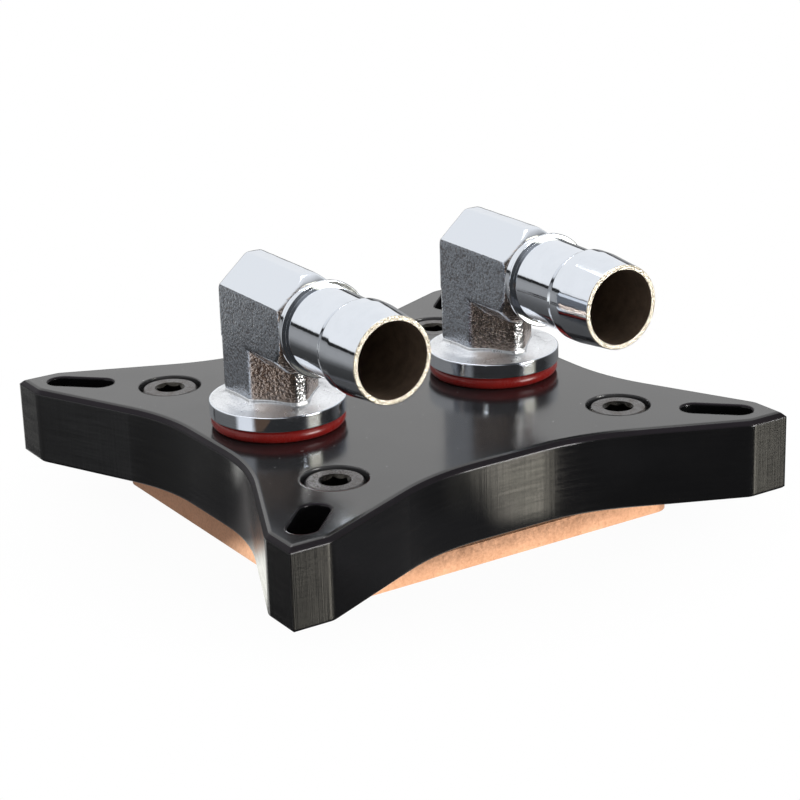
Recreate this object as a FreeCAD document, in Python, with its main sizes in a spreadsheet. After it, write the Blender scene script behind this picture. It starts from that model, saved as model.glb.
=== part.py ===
"""Liquid cooling cold plate: a copper base under a black acetal cover, with two barbed elbows.

Millimetres, +Z up. The origin is the middle of the copper base's underside, which is the face
that lies on the chip. +X runs from one port to the other and both elbows open along -Y.

Coolant enters one elbow, drops through its port into a manifold pocket on the cover's
underside, crosses the copper through the milled channels and leaves by the other port.
"""
import FreeCAD, Part
import math
import os
import re
import Sketcher

# Every size of the model, in millimetres unless the note says otherwise: name, value, note.
SIZES = [
    # Copper base
    ("rim_width", 2.45, "Width of the base's rim round its platform"),
    ("base_thickness", 4.5, "Height of the base's visible rim"),
    ("base_corner_radius", 3.2, "Plan radius of the base's corners"),
    ("base_edge_chamfer", 0.9, "Chamfer round the rim's upper edge"),
    ("platform_height", 2.0, "Height of the platform above the rim"),
    ("platform_corner_radius", 4.0, "Plan radius of the platform's corners"),
    ("channel_width", 0.8, "Width of one milled channel"),
    ("channel_pitch", 1.6, "Distance from one channel to the next"),
    ("channel_count", 21, "Number of channels"),
    ("channel_depth", 3.2, "Depth of the channels below the platform"),
    ("channel_overrun", 3.9, "Run of the channels past each port's axis"),
    # Cover
    ("cover_side", 91.7, "Width of the cover over its four square tips"),
    ("cover_thickness", 13.0, "Height of the cover"),
    ("tip_flat", 7.0, "Straight part of the outline beside each tip"),
    ("tip_blend_radius", 3.0, "Radius between a tip's flat and its flank"),
    ("waist_overhang", 1.45, "Reach of the cover past the base in the middle of its sides"),
    ("waist_span", 27.4, "Distance between the two flanks' feet on the waist line"),
    ("waist_radius", 36.0, "Radius between waist and flank"),
    ("cover_top_chamfer", 0.8, "Chamfer round the cover's upper edge"),
    ("cover_bottom_chamfer", 0.3, "Chamfer round the cover's lower edge"),
    ("recess_clearance", 0.15, "Gap between platform and recess on each side"),
    ("platform_gap", 0.1, "Gap between platform and recess floor"),
    # Mounting slots
    ("slot_inset", 7.85, "Distance in X and Y from a tip's faces to its slot's middle"),
    ("slot_width", 4.7, "Width of the mounting slots, for M4 screws"),
    ("slot_travel", 6.8, "Distance between a slot's two end centres"),
    ("slot_rim_chamfer", 0.25, "Chamfer round each slot's upper rim"),
    # Clamping screws
    ("slot_spacing", 11.2, "Distance in X and Y from a slot's middle to the nearest screw"),
    ("screw_edge", 3.9, "Distance from each screw's axis to the platform's sides"),
    ("screw_radius", 2.5, "Radius of the M5 shank"),
    ("screw_length", 10.0, "Length of the shank under the head"),
    ("screw_head_radius", 4.25, "Radius of the cap head"),
    ("screw_head_height", 5.0, "Height of the cap head"),
    ("screw_head_chamfer", 0.35, "Chamfer round the cap head"),
    ("screw_tip_chamfer", 0.5, "Chamfer on the end of the shank"),
    ("socket_flats", 4.0, "Hexagon socket across its flats"),
    ("socket_depth", 2.5, "Depth of the hexagon socket"),
    ("head_sink", 0.4, "Depth of the cap head below the cover's top"),
    ("head_clearance", 1.0, "Gap round the head in its counterbore"),
    ("shank_clearance", 0.25, "Gap round the shank in the cover"),
    ("thread_clearance", 0.05, "Gap round the shank in its tapped hole"),
    ("tapped_runout", 0.9, "Depth of the tapped hole past the screw's end"),
    # Ports and manifold
    ("port_inset", 9.7, "Distance from the platform's side to the nearest port's axis"),
    ("port_clearance", 0.08, "Gap round the elbow's stub in its port"),
    ("manifold_radius", 5.9, "Radius of the manifold pockets' round ends"),
    ("manifold_reach", 10.0, "Y of the manifold pockets' end centres"),
    ("manifold_depth", 2.5, "Depth of the manifold pockets above the recess floor"),
    # Main seal
    ("seal_inset", 1.5, "Distance from the platform's side to the seal's centre line"),
    ("seal_screw_wall", 1.3, "Wall between the seal's groove and each screw's hole"),
    ("seal_width", 2.2, "Width of the squeezed seal"),
    ("seal_edge_radius", 0.6, "Radius of the seal's edges"),
    ("groove_depth", 1.5, "Depth of the seal's groove above the recess floor"),
    ("groove_clearance", 0.15, "Gap on each side of the seal in its groove"),
    # Port rings
    ("ring_height", 2.05, "Height of the squeezed port ring"),
    ("ring_width", 2.6, "Width of the squeezed port ring"),
    ("ring_inset", 0.2, "Inset of the port ring from the flange's edge"),
    # Elbows
    ("stub_radius", 6.5, "Radius of the threaded stub"),
    ("stub_length", 6.4, "Reach of the stub below the cover's top"),
    ("stub_chamfer", 0.8, "Chamfer on the stub's end"),
    ("shoulder_clearance", 0.15, "Gap between port ring and the shoulder inside it"),
    ("shoulder_height", 1.5, "Height of the shoulder that centres the port ring"),
    ("flange_radius", 11.05, "Radius of the elbow's flange"),
    ("flange_height", 2.5, "Height of the elbow's flange"),
    ("flange_chamfer", 0.25, "Chamfer on the flange's two rims"),
    ("body_half_width", 6.5, "Half width of the forged body"),
    ("body_back", 6.0, "Y of the forged body's flat back"),
    ("leg_shoulder", 2.4, "Distance from the axis to the start of the leg's front facets"),
    ("leg_front", 7.8, "Distance from the axis to the leg's front ridge"),
    ("leg_ridge_half", 1.05, "Half width of the leg's front ridge"),
    ("leg_fillet", 0.8, "Fillet between leg and flange"),
    ("arm_height", 19.5, "Height of the arm's axis above the cover's top"),
    ("arm_front", 13.2, "Distance from the port's axis to the forged body's front end"),
    ("arm_upper_edge", 3.45, "Height of the side flats' upper edge above the arm's axis"),
    ("arm_lower_edge", 5.3, "Depth of the side flats' lower edge below the arm's axis"),
    ("arm_ridge", 7.9, "Height of the arm's top ridge above its axis"),
    ("arm_ridge_half", 1.3, "Half width of the arm's top ridge"),
    ("arm_sole", 7.7, "Depth of the arm's underside below its axis"),
    ("arm_sole_half", 4.1, "Half width of the arm's flat underside"),
    ("back_fillet", 1.6, "Fillet on the edges of the forged back"),
    ("forging_fillet", 0.45, "Fillet on the forged body's long edges"),
    ("front_cone_radius", 6.7, "Radius at which the turned front cone starts"),
    ("neck_radius", 6.6, "Radius of the neck between body and collar"),
    ("neck_length", 2.2, "Length of the neck"),
    ("collar_radius", 7.7, "Radius of the collar that stops the hose"),
    ("collar_length", 0.6, "Length of the collar"),
    ("root_radius", 6.6, "Radius of the barb's root"),
    ("root_length", 8.7, "Length of the barb's root"),
    ("flare_length", 1.8, "Length of the barb's flare"),
    ("barb_radius", 7.4, "Largest radius of the barb"),
    ("barb_land", 2.0, "Length of the barb's cylindrical land"),
    ("barb_taper", 6.5, "Length of the barb's long taper"),
    ("mouth_radius", 6.75, "Outer radius of the mouth"),
    ("mouth_chamfer", 0.15, "Chamfer on the mouth's outer edge"),
    ("mouth_bore_radius", 5.95, "Radius of the bore inside the barb"),
    ("mouth_bore_length", 17.6, "Length of the bore inside the barb"),
    ("passage_radius", 4.8, "Radius of the drilled passages inside the body"),
    ("passage_overrun", 1.0, "Depth of the arm's passage past the leg's axis"),
]
ALIASES = {name for name, _, _ in SIZES}

# Distances from the middle that several pieces share, as expressions in the names above. The
# cover's tips lead: slots, screws, platform, rim, waist, ports and seal each follow by a margin.
SLOT_CENTRE = "(cover_side / 2 - slot_inset)"
SCREW_CENTRE = "(cover_side / 2 - slot_inset - slot_spacing)"
PLATFORM_HALF = "(cover_side / 2 - slot_inset - slot_spacing + screw_edge)"
BASE_HALF = "(cover_side / 2 - slot_inset - slot_spacing + screw_edge + rim_width)"
WAIST_HALF = (
    "(cover_side / 2 - slot_inset - slot_spacing + screw_edge + rim_width + waist_overhang)"
)
PORT_CENTRE = "(cover_side / 2 - slot_inset - slot_spacing + screw_edge - port_inset)"
SEAL_HALF = "(cover_side / 2 - slot_inset - slot_spacing + screw_edge - seal_inset)"
# The seal's corner arc passes inside the screw's hole, with the groove's wall between them.
SEAL_RADIUS = (
    "((sqrt(2) * (screw_edge - seal_inset) + screw_radius + shank_clearance + seal_screw_wall"
    " + groove_clearance + seal_width / 2) / (sqrt(2) - 1))"
)

# Heights that several pieces share.
PLATFORM_TOP = "(base_thickness + platform_height)"
RECESS_FLOOR = "(base_thickness + platform_height + platform_gap)"
COVER_TOP = "(base_thickness + cover_thickness)"
HEAD_SEAT = "(base_thickness + cover_thickness - head_sink - screw_head_height)"
FLANGE_TOP = "(ring_height + flange_height)"
SHOULDER_RADIUS = "(flange_radius - ring_inset - ring_width - shoulder_clearance)"
COLLAR_BACK = "(arm_front + neck_length)"
BARB_ROOT = "(arm_front + neck_length + collar_length)"
BARB_FLARE = "(arm_front + neck_length + collar_length + root_length)"
BARB_LAND = "(arm_front + neck_length + collar_length + root_length + flare_length)"
BARB_TAPER = "(arm_front + neck_length + collar_length + root_length + flare_length + barb_land)"
MOUTH = (
    "(arm_front + neck_length + collar_length + root_length + flare_length + barb_land"
    " + barb_taper)"
)

# Screws come to rest at any angle: the corner each one holds and its turn in degrees.
SCREWS = [
    ("screw_front_left", -1, -1, 8.0),
    ("screw_front_right", 1, -1, 27.0),
    ("screw_back_right", 1, 1, 41.0),
    ("screw_back_left", -1, 1, 17.0),
]
PORTS = [("left", -1), ("right", 1)]

TOLERANCE = 1e-4


# ---------------------------------------------------------------- sheet and expressions


def make_sheet(doc):
    """Put every size in the sheet, with its name as the cell's alias."""
    sheet = doc.addObject("Spreadsheet::Sheet", "Sizes")
    for row, (name, value, note) in enumerate(SIZES, start=1):
        sheet.set(f"A{row}", note)
        sheet.set(f"B{row}", str(value))
        sheet.setAlias(f"B{row}", name)
    doc.recompute()
    return sheet


def bound(text):
    """Turn an expression in the size names into one that reads the sheet."""

    def swap(match):
        word = match.group(0)
        return f"Sizes.{word}" if word in ALIASES else word

    return re.sub(r"[A-Za-z_][A-Za-z0-9_]*", swap, str(text))


def value_of(owner, text):
    """Present value of an expression in the size names."""
    value = owner.evalExpression(bound(text))
    return float(getattr(value, "Value", value))


def negated(text):
    """The same expression with its sign changed."""
    return f"-({text})"


# ---------------------------------------------------------------- bodies and sketches


def new_body(doc, label, x="0", y="0", z="0", turn=0.0):
    """Empty body at a place given by expressions, turned about +Z by some degrees."""
    body = doc.addObject("PartDesign::Body", label)
    body.Label = label
    body.Placement = FreeCAD.Placement(
        FreeCAD.Vector(0, 0, 0),
        FreeCAD.Rotation(FreeCAD.Vector(0, 0, 1), turn),
    )
    for axis, text in (("x", x), ("y", y), ("z", z)):
        body.setExpression(f"Placement.Base.{axis}", bound(text))
    return body


def origin_part(body, role):
    """Plane or axis of the body's own origin, found by its role."""
    for feature in body.Origin.OriginFeatures:
        if feature.Role == role:
            return feature
    raise ValueError(f"{body.Label} has no {role}")


def new_sketch(body, name, plane, lift="0", shift="0"):
    """Sketch on an origin plane, lifted along its normal and shifted along its second axis."""
    sketch = body.newObject("Sketcher::SketchObject", name)
    sketch.AttachmentSupport = (origin_part(body, plane), [""])
    sketch.MapMode = "FlatFace"
    sketch.setExpression("AttachmentOffset.Base.z", bound(lift))
    sketch.setExpression("AttachmentOffset.Base.y", bound(shift))
    return sketch


def hold(sketch, geometry, point, x, y):
    """Fix one point of a sketch at an X and a Y, each an expression."""
    for kind, text, axis in (("DistanceX", x, -2), ("DistanceY", y, -1)):
        if text == "0":
            sketch.addConstraint(Sketcher.Constraint("PointOnObject", geometry, point, axis))
            continue
        distance = value_of(sketch, text)
        index = sketch.addConstraint(
            Sketcher.Constraint(kind, -1, 1, geometry, point, distance)
        )
        sketch.setExpression(f"Constraints[{index}]", bound(text))


def set_radius(sketch, geometry, text):
    """Fix a circle's or an arc's radius to an expression."""
    index = sketch.addConstraint(
        Sketcher.Constraint("Radius", geometry, value_of(sketch, text))
    )
    sketch.setExpression(f"Constraints[{index}]", bound(text))


def draw_polygon(sketch, points):
    """Closed outline of straight lines through points given as pairs of expressions."""
    corners = [
        FreeCAD.Vector(value_of(sketch, x), value_of(sketch, y), 0) for x, y in points
    ]
    first = sketch.GeometryCount
    count = len(points)
    for index in range(count):
        sketch.addGeometry(Part.LineSegment(corners[index], corners[(index + 1) % count]))
    for index in range(count):
        following = first + (index + 1) % count
        sketch.addConstraint(
            Sketcher.Constraint("Coincident", first + index, 2, following, 1)
        )
    for index, (x, y) in enumerate(points):
        hold(sketch, first + index, 1, x, y)


def draw_circle(sketch, x, y, radius):
    """Circle with its centre and radius given as expressions."""
    centre = FreeCAD.Vector(value_of(sketch, x), value_of(sketch, y), 0)
    geometry = sketch.addGeometry(
        Part.Circle(centre, FreeCAD.Vector(0, 0, 1), value_of(sketch, radius))
    )
    hold(sketch, geometry, 3, x, y)
    set_radius(sketch, geometry, radius)


def draw_round_path(sketch, centres, radius):
    """Convex outline of arcs about the given centres, in order, joined by tangent lines."""
    size = value_of(sketch, radius)
    spots = [
        FreeCAD.Vector(value_of(sketch, x), value_of(sketch, y), 0) for x, y in centres
    ]
    count = len(spots)
    outward = []
    for index in range(count):
        along = spots[(index + 1) % count].sub(spots[index])
        outward.append(math.atan2(along.y, along.x) - math.pi / 2)
    arcs = []
    for index, spot in enumerate(spots):
        circle = Part.Circle(spot, FreeCAD.Vector(0, 0, 1), size)
        start = outward[index - 1]
        end = outward[index]
        while end < start:
            end += 2 * math.pi
        arcs.append(sketch.addGeometry(Part.ArcOfCircle(circle, start, end)))
    for index in range(count):
        reach = FreeCAD.Vector(math.cos(outward[index]), math.sin(outward[index]), 0) * size
        following = (index + 1) % count
        line = sketch.addGeometry(
            Part.LineSegment(spots[index].add(reach), spots[following].add(reach))
        )
        sketch.addConstraint(Sketcher.Constraint("Tangent", arcs[index], 2, line, 1))
        sketch.addConstraint(Sketcher.Constraint("Tangent", line, 2, arcs[following], 1))
    set_radius(sketch, arcs[0], radius)
    for arc, (x, y) in zip(arcs, centres):
        hold(sketch, arc, 3, x, y)
        if arc != arcs[0]:
            sketch.addConstraint(Sketcher.Constraint("Equal", arcs[0], arc))


def draw_round_square(sketch, half, radius):
    """Square about the sketch's origin with round corners."""
    inner = f"({half}) - ({radius})"
    far = negated(inner)
    draw_round_path(sketch, [(far, far), (inner, far), (inner, inner), (far, inner)], radius)


def draw_slot(sketch, start, end, radius):
    """Slot with round ends about two centres."""
    draw_round_path(sketch, [start, end], radius)


# ---------------------------------------------------------------- features


def pad(body, name, sketch, length):
    """Grow a sketch along its normal."""
    feature = body.newObject("PartDesign::Pad", name)
    feature.Profile = sketch
    feature.setExpression("Length", bound(length))
    body.Document.recompute()
    return feature


def pocket(body, name, sketch, depth=None, upward=False):
    """Cut a sketch into the body, through all of it where no depth is given."""
    before = body.Shape.Volume
    feature = body.newObject("PartDesign::Pocket", name)
    feature.Profile = sketch
    feature.Reversed = upward
    if depth is None:
        feature.Type = "ThroughAll"
    else:
        feature.setExpression("Length", bound(depth))
    body.Document.recompute()
    expect_less(body, name, before)
    return feature


def expect_less(body, name, before):
    """Stop where a cut has taken nothing away."""
    if body.Shape.Volume > before - TOLERANCE:
        raise RuntimeError(f"{name} cuts nothing from {body.Label}")


def revolve(body, name, sketch, axis, cut=False):
    """Turn a sketch right round one of its own axes, adding or cutting."""
    before = body.Shape.Volume if cut else 0.0
    kind = "PartDesign::Groove" if cut else "PartDesign::Revolution"
    feature = body.newObject(kind, name)
    feature.Profile = sketch
    feature.ReferenceAxis = (sketch, [axis])
    feature.Angle = 360.0
    body.Document.recompute()
    if cut:
        expect_less(body, name, before)
    return feature


def edges_where(body, test):
    """Names of the last feature's edges that pass a test, in the body's own frame."""
    return [
        f"Edge{index}"
        for index, edge in enumerate(body.Tip.Shape.Edges, start=1)
        if test(edge)
    ]


def dress(body, kind, name, size, test):
    """Fillet or chamfer the edges of the body's last feature that pass a test."""
    names = edges_where(body, test)
    if not names:
        raise RuntimeError(f"{name} finds no edge on {body.Label}")
    base = body.Tip
    feature = body.newObject(f"PartDesign::{kind}", name)
    feature.Base = (base, names)
    prop = "Radius" if kind == "Fillet" else "Size"
    feature.setExpression(prop, bound(size))
    body.Document.recompute()
    return feature


def polar_pattern(body, name, originals, count):
    """Repeat features evenly about the body's Z axis."""
    feature = body.newObject("PartDesign::PolarPattern", name)
    feature.Originals = originals
    feature.Axis = (origin_part(body, "Z_Axis"), [""])
    feature.Angle = 360.0
    feature.Occurrences = count
    body.Tip = feature
    body.Document.recompute()
    return feature


def mirror_across_x(body, name, originals):
    """Repeat features on the other side of the body's YZ plane."""
    feature = body.newObject("PartDesign::Mirrored", name)
    feature.Originals = originals
    feature.MirrorPlane = (origin_part(body, "YZ_Plane"), [""])
    body.Tip = feature
    body.Document.recompute()
    return feature


def at_height(edge, height):
    """True for an edge that lies level at a height in the body's own frame."""
    box = edge.BoundBox
    return abs(box.ZMin - height) < TOLERANCE and abs(box.ZMax - height) < TOLERANCE


def is_upright(edge):
    """True for a straight edge along Z."""
    box = edge.BoundBox
    return box.XLength < TOLERANCE and box.YLength < TOLERANCE and box.ZLength > TOLERANCE


def along_y(edge):
    """True for a straight edge along Y."""
    box = edge.BoundBox
    return box.XLength < TOLERANCE and box.ZLength < TOLERANCE and box.YLength > TOLERANCE


# ---------------------------------------------------------------- copper base


def make_base_plate(doc):
    """Copper base: chamfered rim, centring platform, tapped holes and milled channels."""
    body = new_body(doc, "base_plate")
    rim = new_sketch(body, "RimOutline", "XY_Plane")
    draw_round_square(rim, BASE_HALF, "base_corner_radius")
    pad(body, "Rim", rim, "base_thickness")
    rim_top = value_of(body, "base_thickness")
    dress(body, "Chamfer", "RimChamfer", "base_edge_chamfer", lambda edge: at_height(edge, rim_top))

    platform = new_sketch(body, "PlatformOutline", "XY_Plane", "base_thickness")
    draw_round_square(platform, PLATFORM_HALF, "platform_corner_radius")
    pad(body, "Platform", platform, "platform_height")

    tapping = new_sketch(body, "TappingCircle", "XY_Plane", PLATFORM_TOP)
    draw_circle(tapping, SCREW_CENTRE, SCREW_CENTRE, "screw_radius + thread_clearance")
    depth = f"{PLATFORM_TOP} - ({HEAD_SEAT} - screw_length) + tapped_runout"
    tapped = pocket(body, "TappedHole", tapping, depth)
    polar_pattern(body, "TappedHoles", [tapped], 4)

    reach = f"{PORT_CENTRE} + channel_overrun"
    row = "-(channel_pitch * (channel_count - 1) / 2)"
    channel = new_sketch(body, "ChannelOutline", "XY_Plane", PLATFORM_TOP)
    draw_polygon(
        channel,
        [
            (negated(reach), f"{row} - channel_width / 2"),
            (reach, f"{row} - channel_width / 2"),
            (reach, f"{row} + channel_width / 2"),
            (negated(reach), f"{row} + channel_width / 2"),
        ],
    )
    first = pocket(body, "Channel", channel, "channel_depth")
    channels = body.newObject("PartDesign::LinearPattern", "Channels")
    channels.Originals = [first]
    channels.Direction = (origin_part(body, "Y_Axis"), [""])
    channels.setExpression("Length", bound("channel_pitch * (channel_count - 1)"))
    channels.setExpression("Occurrences", bound("channel_count"))
    body.Tip = channels
    doc.recompute()
    return body


# ---------------------------------------------------------------- cover


def cover_outline():
    """Corners of the cover's plan: a square tip, a flank, the waist and a flank, four times."""
    tip = "cover_side / 2"
    flat = "(cover_side / 2 - tip_flat)"
    side = [
        (negated(tip), negated(tip)),
        (negated(flat), negated(tip)),
        ("-waist_span / 2", negated(WAIST_HALF)),
        ("waist_span / 2", negated(WAIST_HALF)),
        (flat, negated(tip)),
    ]
    points = []
    for _ in range(4):
        points.extend(side)
        side = [(negated(y), x) for x, y in side]
    return points


def make_cover(doc):
    """Acetal cover: four-tipped star outline with seats for base, seal, screws and elbows."""
    body = new_body(doc, "top_cover", z="base_thickness")
    top = "cover_thickness"
    outline = new_sketch(body, "CoverOutline", "XY_Plane")
    draw_polygon(outline, cover_outline())
    pad(body, "CoverBlank", outline, top)

    tip = value_of(body, "cover_side / 2")
    foot = value_of(body, WAIST_HALF)

    def is_waist_foot(edge):
        box = edge.BoundBox
        far = max(abs(box.XMin), abs(box.YMin))
        return is_upright(edge) and far < foot + TOLERANCE

    def is_tip_shoulder(edge):
        box = edge.BoundBox
        far = max(abs(box.XMin), abs(box.YMin))
        near = min(abs(box.XMin), abs(box.YMin))
        return is_upright(edge) and far > tip - TOLERANCE and near < tip - 1.0

    dress(body, "Fillet", "WaistCurves", "waist_radius", is_waist_foot)
    dress(body, "Fillet", "TipShoulders", "tip_blend_radius", is_tip_shoulder)
    top_height = value_of(body, top)
    dress(
        body, "Chamfer", "TopChamfer", "cover_top_chamfer",
        lambda edge: at_height(edge, top_height),
    )
    dress(
        body, "Chamfer", "BottomChamfer", "cover_bottom_chamfer",
        lambda edge: at_height(edge, 0.0),
    )

    recess = new_sketch(body, "RecessOutline", "XY_Plane")
    draw_round_square(
        recess, f"{PLATFORM_HALF} + recess_clearance", "platform_corner_radius + recess_clearance"
    )
    pocket(body, "Recess", recess, "platform_height + platform_gap", upward=True)

    floor = "platform_height + platform_gap"
    groove = new_sketch(body, "GrooveOutline", "XY_Plane", floor)
    spread = "(seal_width / 2 + groove_clearance)"
    draw_round_square(groove, f"{SEAL_HALF} + {spread}", f"{SEAL_RADIUS} + {spread}")
    draw_round_square(groove, f"{SEAL_HALF} - {spread}", f"{SEAL_RADIUS} - {spread}")
    pocket(body, "SealGroove", groove, "groove_depth", upward=True)

    seat = new_sketch(body, "ScrewCentre", "XY_Plane", top)
    draw_circle(seat, SCREW_CENTRE, SCREW_CENTRE, "screw_radius + shank_clearance")
    doc.recompute()
    before = body.Shape.Volume
    bore = body.newObject("PartDesign::Hole", "ScrewHole")
    bore.Profile = seat
    doc.recompute()
    bore.DepthType = "ThroughAll"
    bore.setExpression("Diameter", bound("2 * (screw_radius + shank_clearance)"))
    bore.HoleCutType = "Counterbore"
    bore.HoleCutCustomValues = True
    bore.setExpression("HoleCutDiameter", bound("2 * (screw_head_radius + head_clearance)"))
    bore.setExpression("HoleCutDepth", bound("head_sink + screw_head_height"))
    doc.recompute()
    expect_less(body, "ScrewHole", before)

    near = f"({SLOT_CENTRE} - slot_travel / 2 / sqrt(2))"
    far = f"({SLOT_CENTRE} + slot_travel / 2 / sqrt(2))"
    slot_outline = new_sketch(body, "SlotOutline", "XY_Plane", top)
    draw_slot(slot_outline, (near, near), (far, far), "slot_width / 2")
    slot = pocket(body, "MountingSlot", slot_outline)
    polar_pattern(body, "FourCorners", [bore, slot], 4)

    chamber = new_sketch(body, "ManifoldOutline", "XY_Plane", floor)
    draw_slot(
        chamber, (PORT_CENTRE, "-manifold_reach"), (PORT_CENTRE, "manifold_reach"),
        "manifold_radius",
    )
    manifold = pocket(body, "Manifold", chamber, "manifold_depth", upward=True)
    mouth = new_sketch(body, "PortCircle", "XY_Plane", top)
    draw_circle(mouth, PORT_CENTRE, "0", "stub_radius + port_clearance")
    port = pocket(body, "Port", mouth, f"{top} - platform_height - platform_gap")
    mirror_across_x(body, "PortPair", [manifold, port])

    slot_inner = value_of(body, near) - value_of(body, "slot_width / 2")

    def is_slot_rim(edge):
        middle = edge.BoundBox.Center
        inside = min(abs(middle.x), abs(middle.y)) > slot_inner
        return at_height(edge, top_height) and inside and edge.BoundBox.DiagonalLength < tip

    dress(body, "Chamfer", "SlotRims", "slot_rim_chamfer", is_slot_rim)
    return body


# ---------------------------------------------------------------- seals


def make_main_seal(doc):
    """Rubber seal, squeezed in the cover's groove against the copper platform."""
    body = new_body(doc, "main_seal", z=PLATFORM_TOP)
    outline = new_sketch(body, "SealOutline", "XY_Plane")
    for side in ("+", "-"):
        draw_round_square(
            outline,
            f"{SEAL_HALF} {side} seal_width / 2",
            f"{SEAL_RADIUS} {side} seal_width / 2",
        )
    pad(body, "SealRing", outline, "groove_depth + platform_gap")
    dress(body, "Fillet", "SealEdges", "seal_edge_radius", lambda edge: not is_upright(edge))
    return body


def make_port_ring(doc, side, sign):
    """Silicone ring, squeezed between the cover's top and an elbow's flange."""
    body = new_body(doc, f"port_ring_{side}", x=f"{sign} * {PORT_CENTRE}", z=COVER_TOP)
    section = new_sketch(body, "RingSection", "XZ_Plane")
    half = "ring_height / 2"
    outer = f"flange_radius - ring_inset - {half}"
    inner = f"flange_radius - ring_inset - ring_width + {half}"
    draw_slot(section, (inner, half), (outer, half), half)
    revolve(body, "Ring", section, "V_Axis")
    return body


# ---------------------------------------------------------------- screws


def make_screw(doc, name, x_sign, y_sign, turn):
    """M5 socket head cap screw, with its origin at the seat of its head."""
    body = new_body(
        doc, name, f"{x_sign} * {SCREW_CENTRE}", f"{y_sign} * {SCREW_CENTRE}", HEAD_SEAT, turn
    )
    half = new_sketch(body, "ScrewHalf", "XZ_Plane")
    draw_polygon(
        half,
        [
            ("0", "-screw_length"),
            ("screw_radius - screw_tip_chamfer", "-screw_length"),
            ("screw_radius", "screw_tip_chamfer - screw_length"),
            ("screw_radius", "0"),
            ("screw_head_radius", "0"),
            ("screw_head_radius", "screw_head_height - screw_head_chamfer"),
            ("screw_head_radius - screw_head_chamfer", "screw_head_height"),
            ("0", "screw_head_height"),
        ],
    )
    revolve(body, "ScrewBlank", half, "V_Axis")
    socket = new_sketch(body, "SocketOutline", "XY_Plane", "screw_head_height")
    corners = [
        (f"socket_flats / sqrt(3) * cos({60 * step})", f"socket_flats / sqrt(3) * sin({60 * step})")
        for step in range(6)
    ]
    draw_polygon(socket, corners)
    pocket(body, "Socket", socket, "socket_depth")
    return body


# ---------------------------------------------------------------- elbows


def make_elbow(doc, side, sign):
    """Forged elbow: stub, flange, facetted leg and arm, turned neck, collar and hose barb.

    Its origin is where the port's axis meets the cover's top.
    """
    body = new_body(doc, f"elbow_{side}", x=f"{sign} * {PORT_CENTRE}", z=COVER_TOP)
    forge_body(body)
    turn_flange(body)
    turn_barb(body)
    bore_passages(body)
    return body


def forge_body(body):
    """Facetted leg and arm with their rounded back and edges."""
    leg = new_sketch(body, "LegSection", "XY_Plane", "ring_height")
    draw_polygon(
        leg,
        [
            ("-body_half_width", "body_back"),
            ("-body_half_width", "-leg_shoulder"),
            ("-leg_ridge_half", "-leg_front"),
            ("leg_ridge_half", "-leg_front"),
            ("body_half_width", "-leg_shoulder"),
            ("body_half_width", "body_back"),
        ],
    )
    pad(body, "Leg", leg, "arm_height - ring_height")

    arm = new_sketch(body, "ArmSection", "XZ_Plane", "-body_back", "arm_height")
    draw_polygon(
        arm,
        [
            ("-body_half_width", "-arm_lower_edge"),
            ("-arm_sole_half", "-arm_sole"),
            ("arm_sole_half", "-arm_sole"),
            ("body_half_width", "-arm_lower_edge"),
            ("body_half_width", "arm_upper_edge"),
            ("arm_ridge_half", "arm_ridge"),
            ("-arm_ridge_half", "arm_ridge"),
            ("-body_half_width", "arm_upper_edge"),
        ],
    )
    pad(body, "Arm", arm, "body_back + arm_front")

    back = value_of(body, "body_back")
    side_top = value_of(body, "arm_height + arm_upper_edge")

    def is_back_edge(edge):
        box = edge.BoundBox
        on_back = abs(box.YMin - back) < TOLERANCE and abs(box.YMax - back) < TOLERANCE
        return on_back and box.ZMax > side_top - TOLERANCE and not at_height(edge, side_top)

    dress(body, "Fillet", "BackEdges", "back_fillet", is_back_edge)

    def is_long_edge(edge):
        box = edge.BoundBox
        return along_y(edge) and box.ZMin > side_top - TOLERANCE

    dress(body, "Fillet", "LongEdges", "forging_fillet", is_long_edge)


def turn_flange(body):
    """Flange, shoulder and stub, turned about the leg's axis, with a fillet to the leg."""
    section = new_sketch(body, "FlangeSection", "XZ_Plane")
    draw_polygon(
        section,
        [
            ("0", "-stub_length"),
            ("stub_radius - stub_chamfer", "-stub_length"),
            ("stub_radius", "stub_chamfer - stub_length"),
            ("stub_radius", "ring_height - shoulder_height"),
            (SHOULDER_RADIUS, "ring_height - shoulder_height"),
            (SHOULDER_RADIUS, "ring_height"),
            ("flange_radius - flange_chamfer", "ring_height"),
            ("flange_radius", "ring_height + flange_chamfer"),
            ("flange_radius", f"{FLANGE_TOP} - flange_chamfer"),
            ("flange_radius - flange_chamfer", FLANGE_TOP),
            ("0", FLANGE_TOP),
        ],
    )
    revolve(body, "Flange", section, "V_Axis")
    flange_top = value_of(body, FLANGE_TOP)
    rim = value_of(body, "flange_radius - 2 * flange_chamfer")

    def is_leg_foot(edge):
        box = edge.BoundBox
        reach = max(abs(box.XMin), abs(box.XMax), abs(box.YMin), abs(box.YMax))
        return at_height(edge, flange_top) and reach < rim

    dress(body, "Fillet", "LegFoot", "leg_fillet", is_leg_foot)


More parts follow.
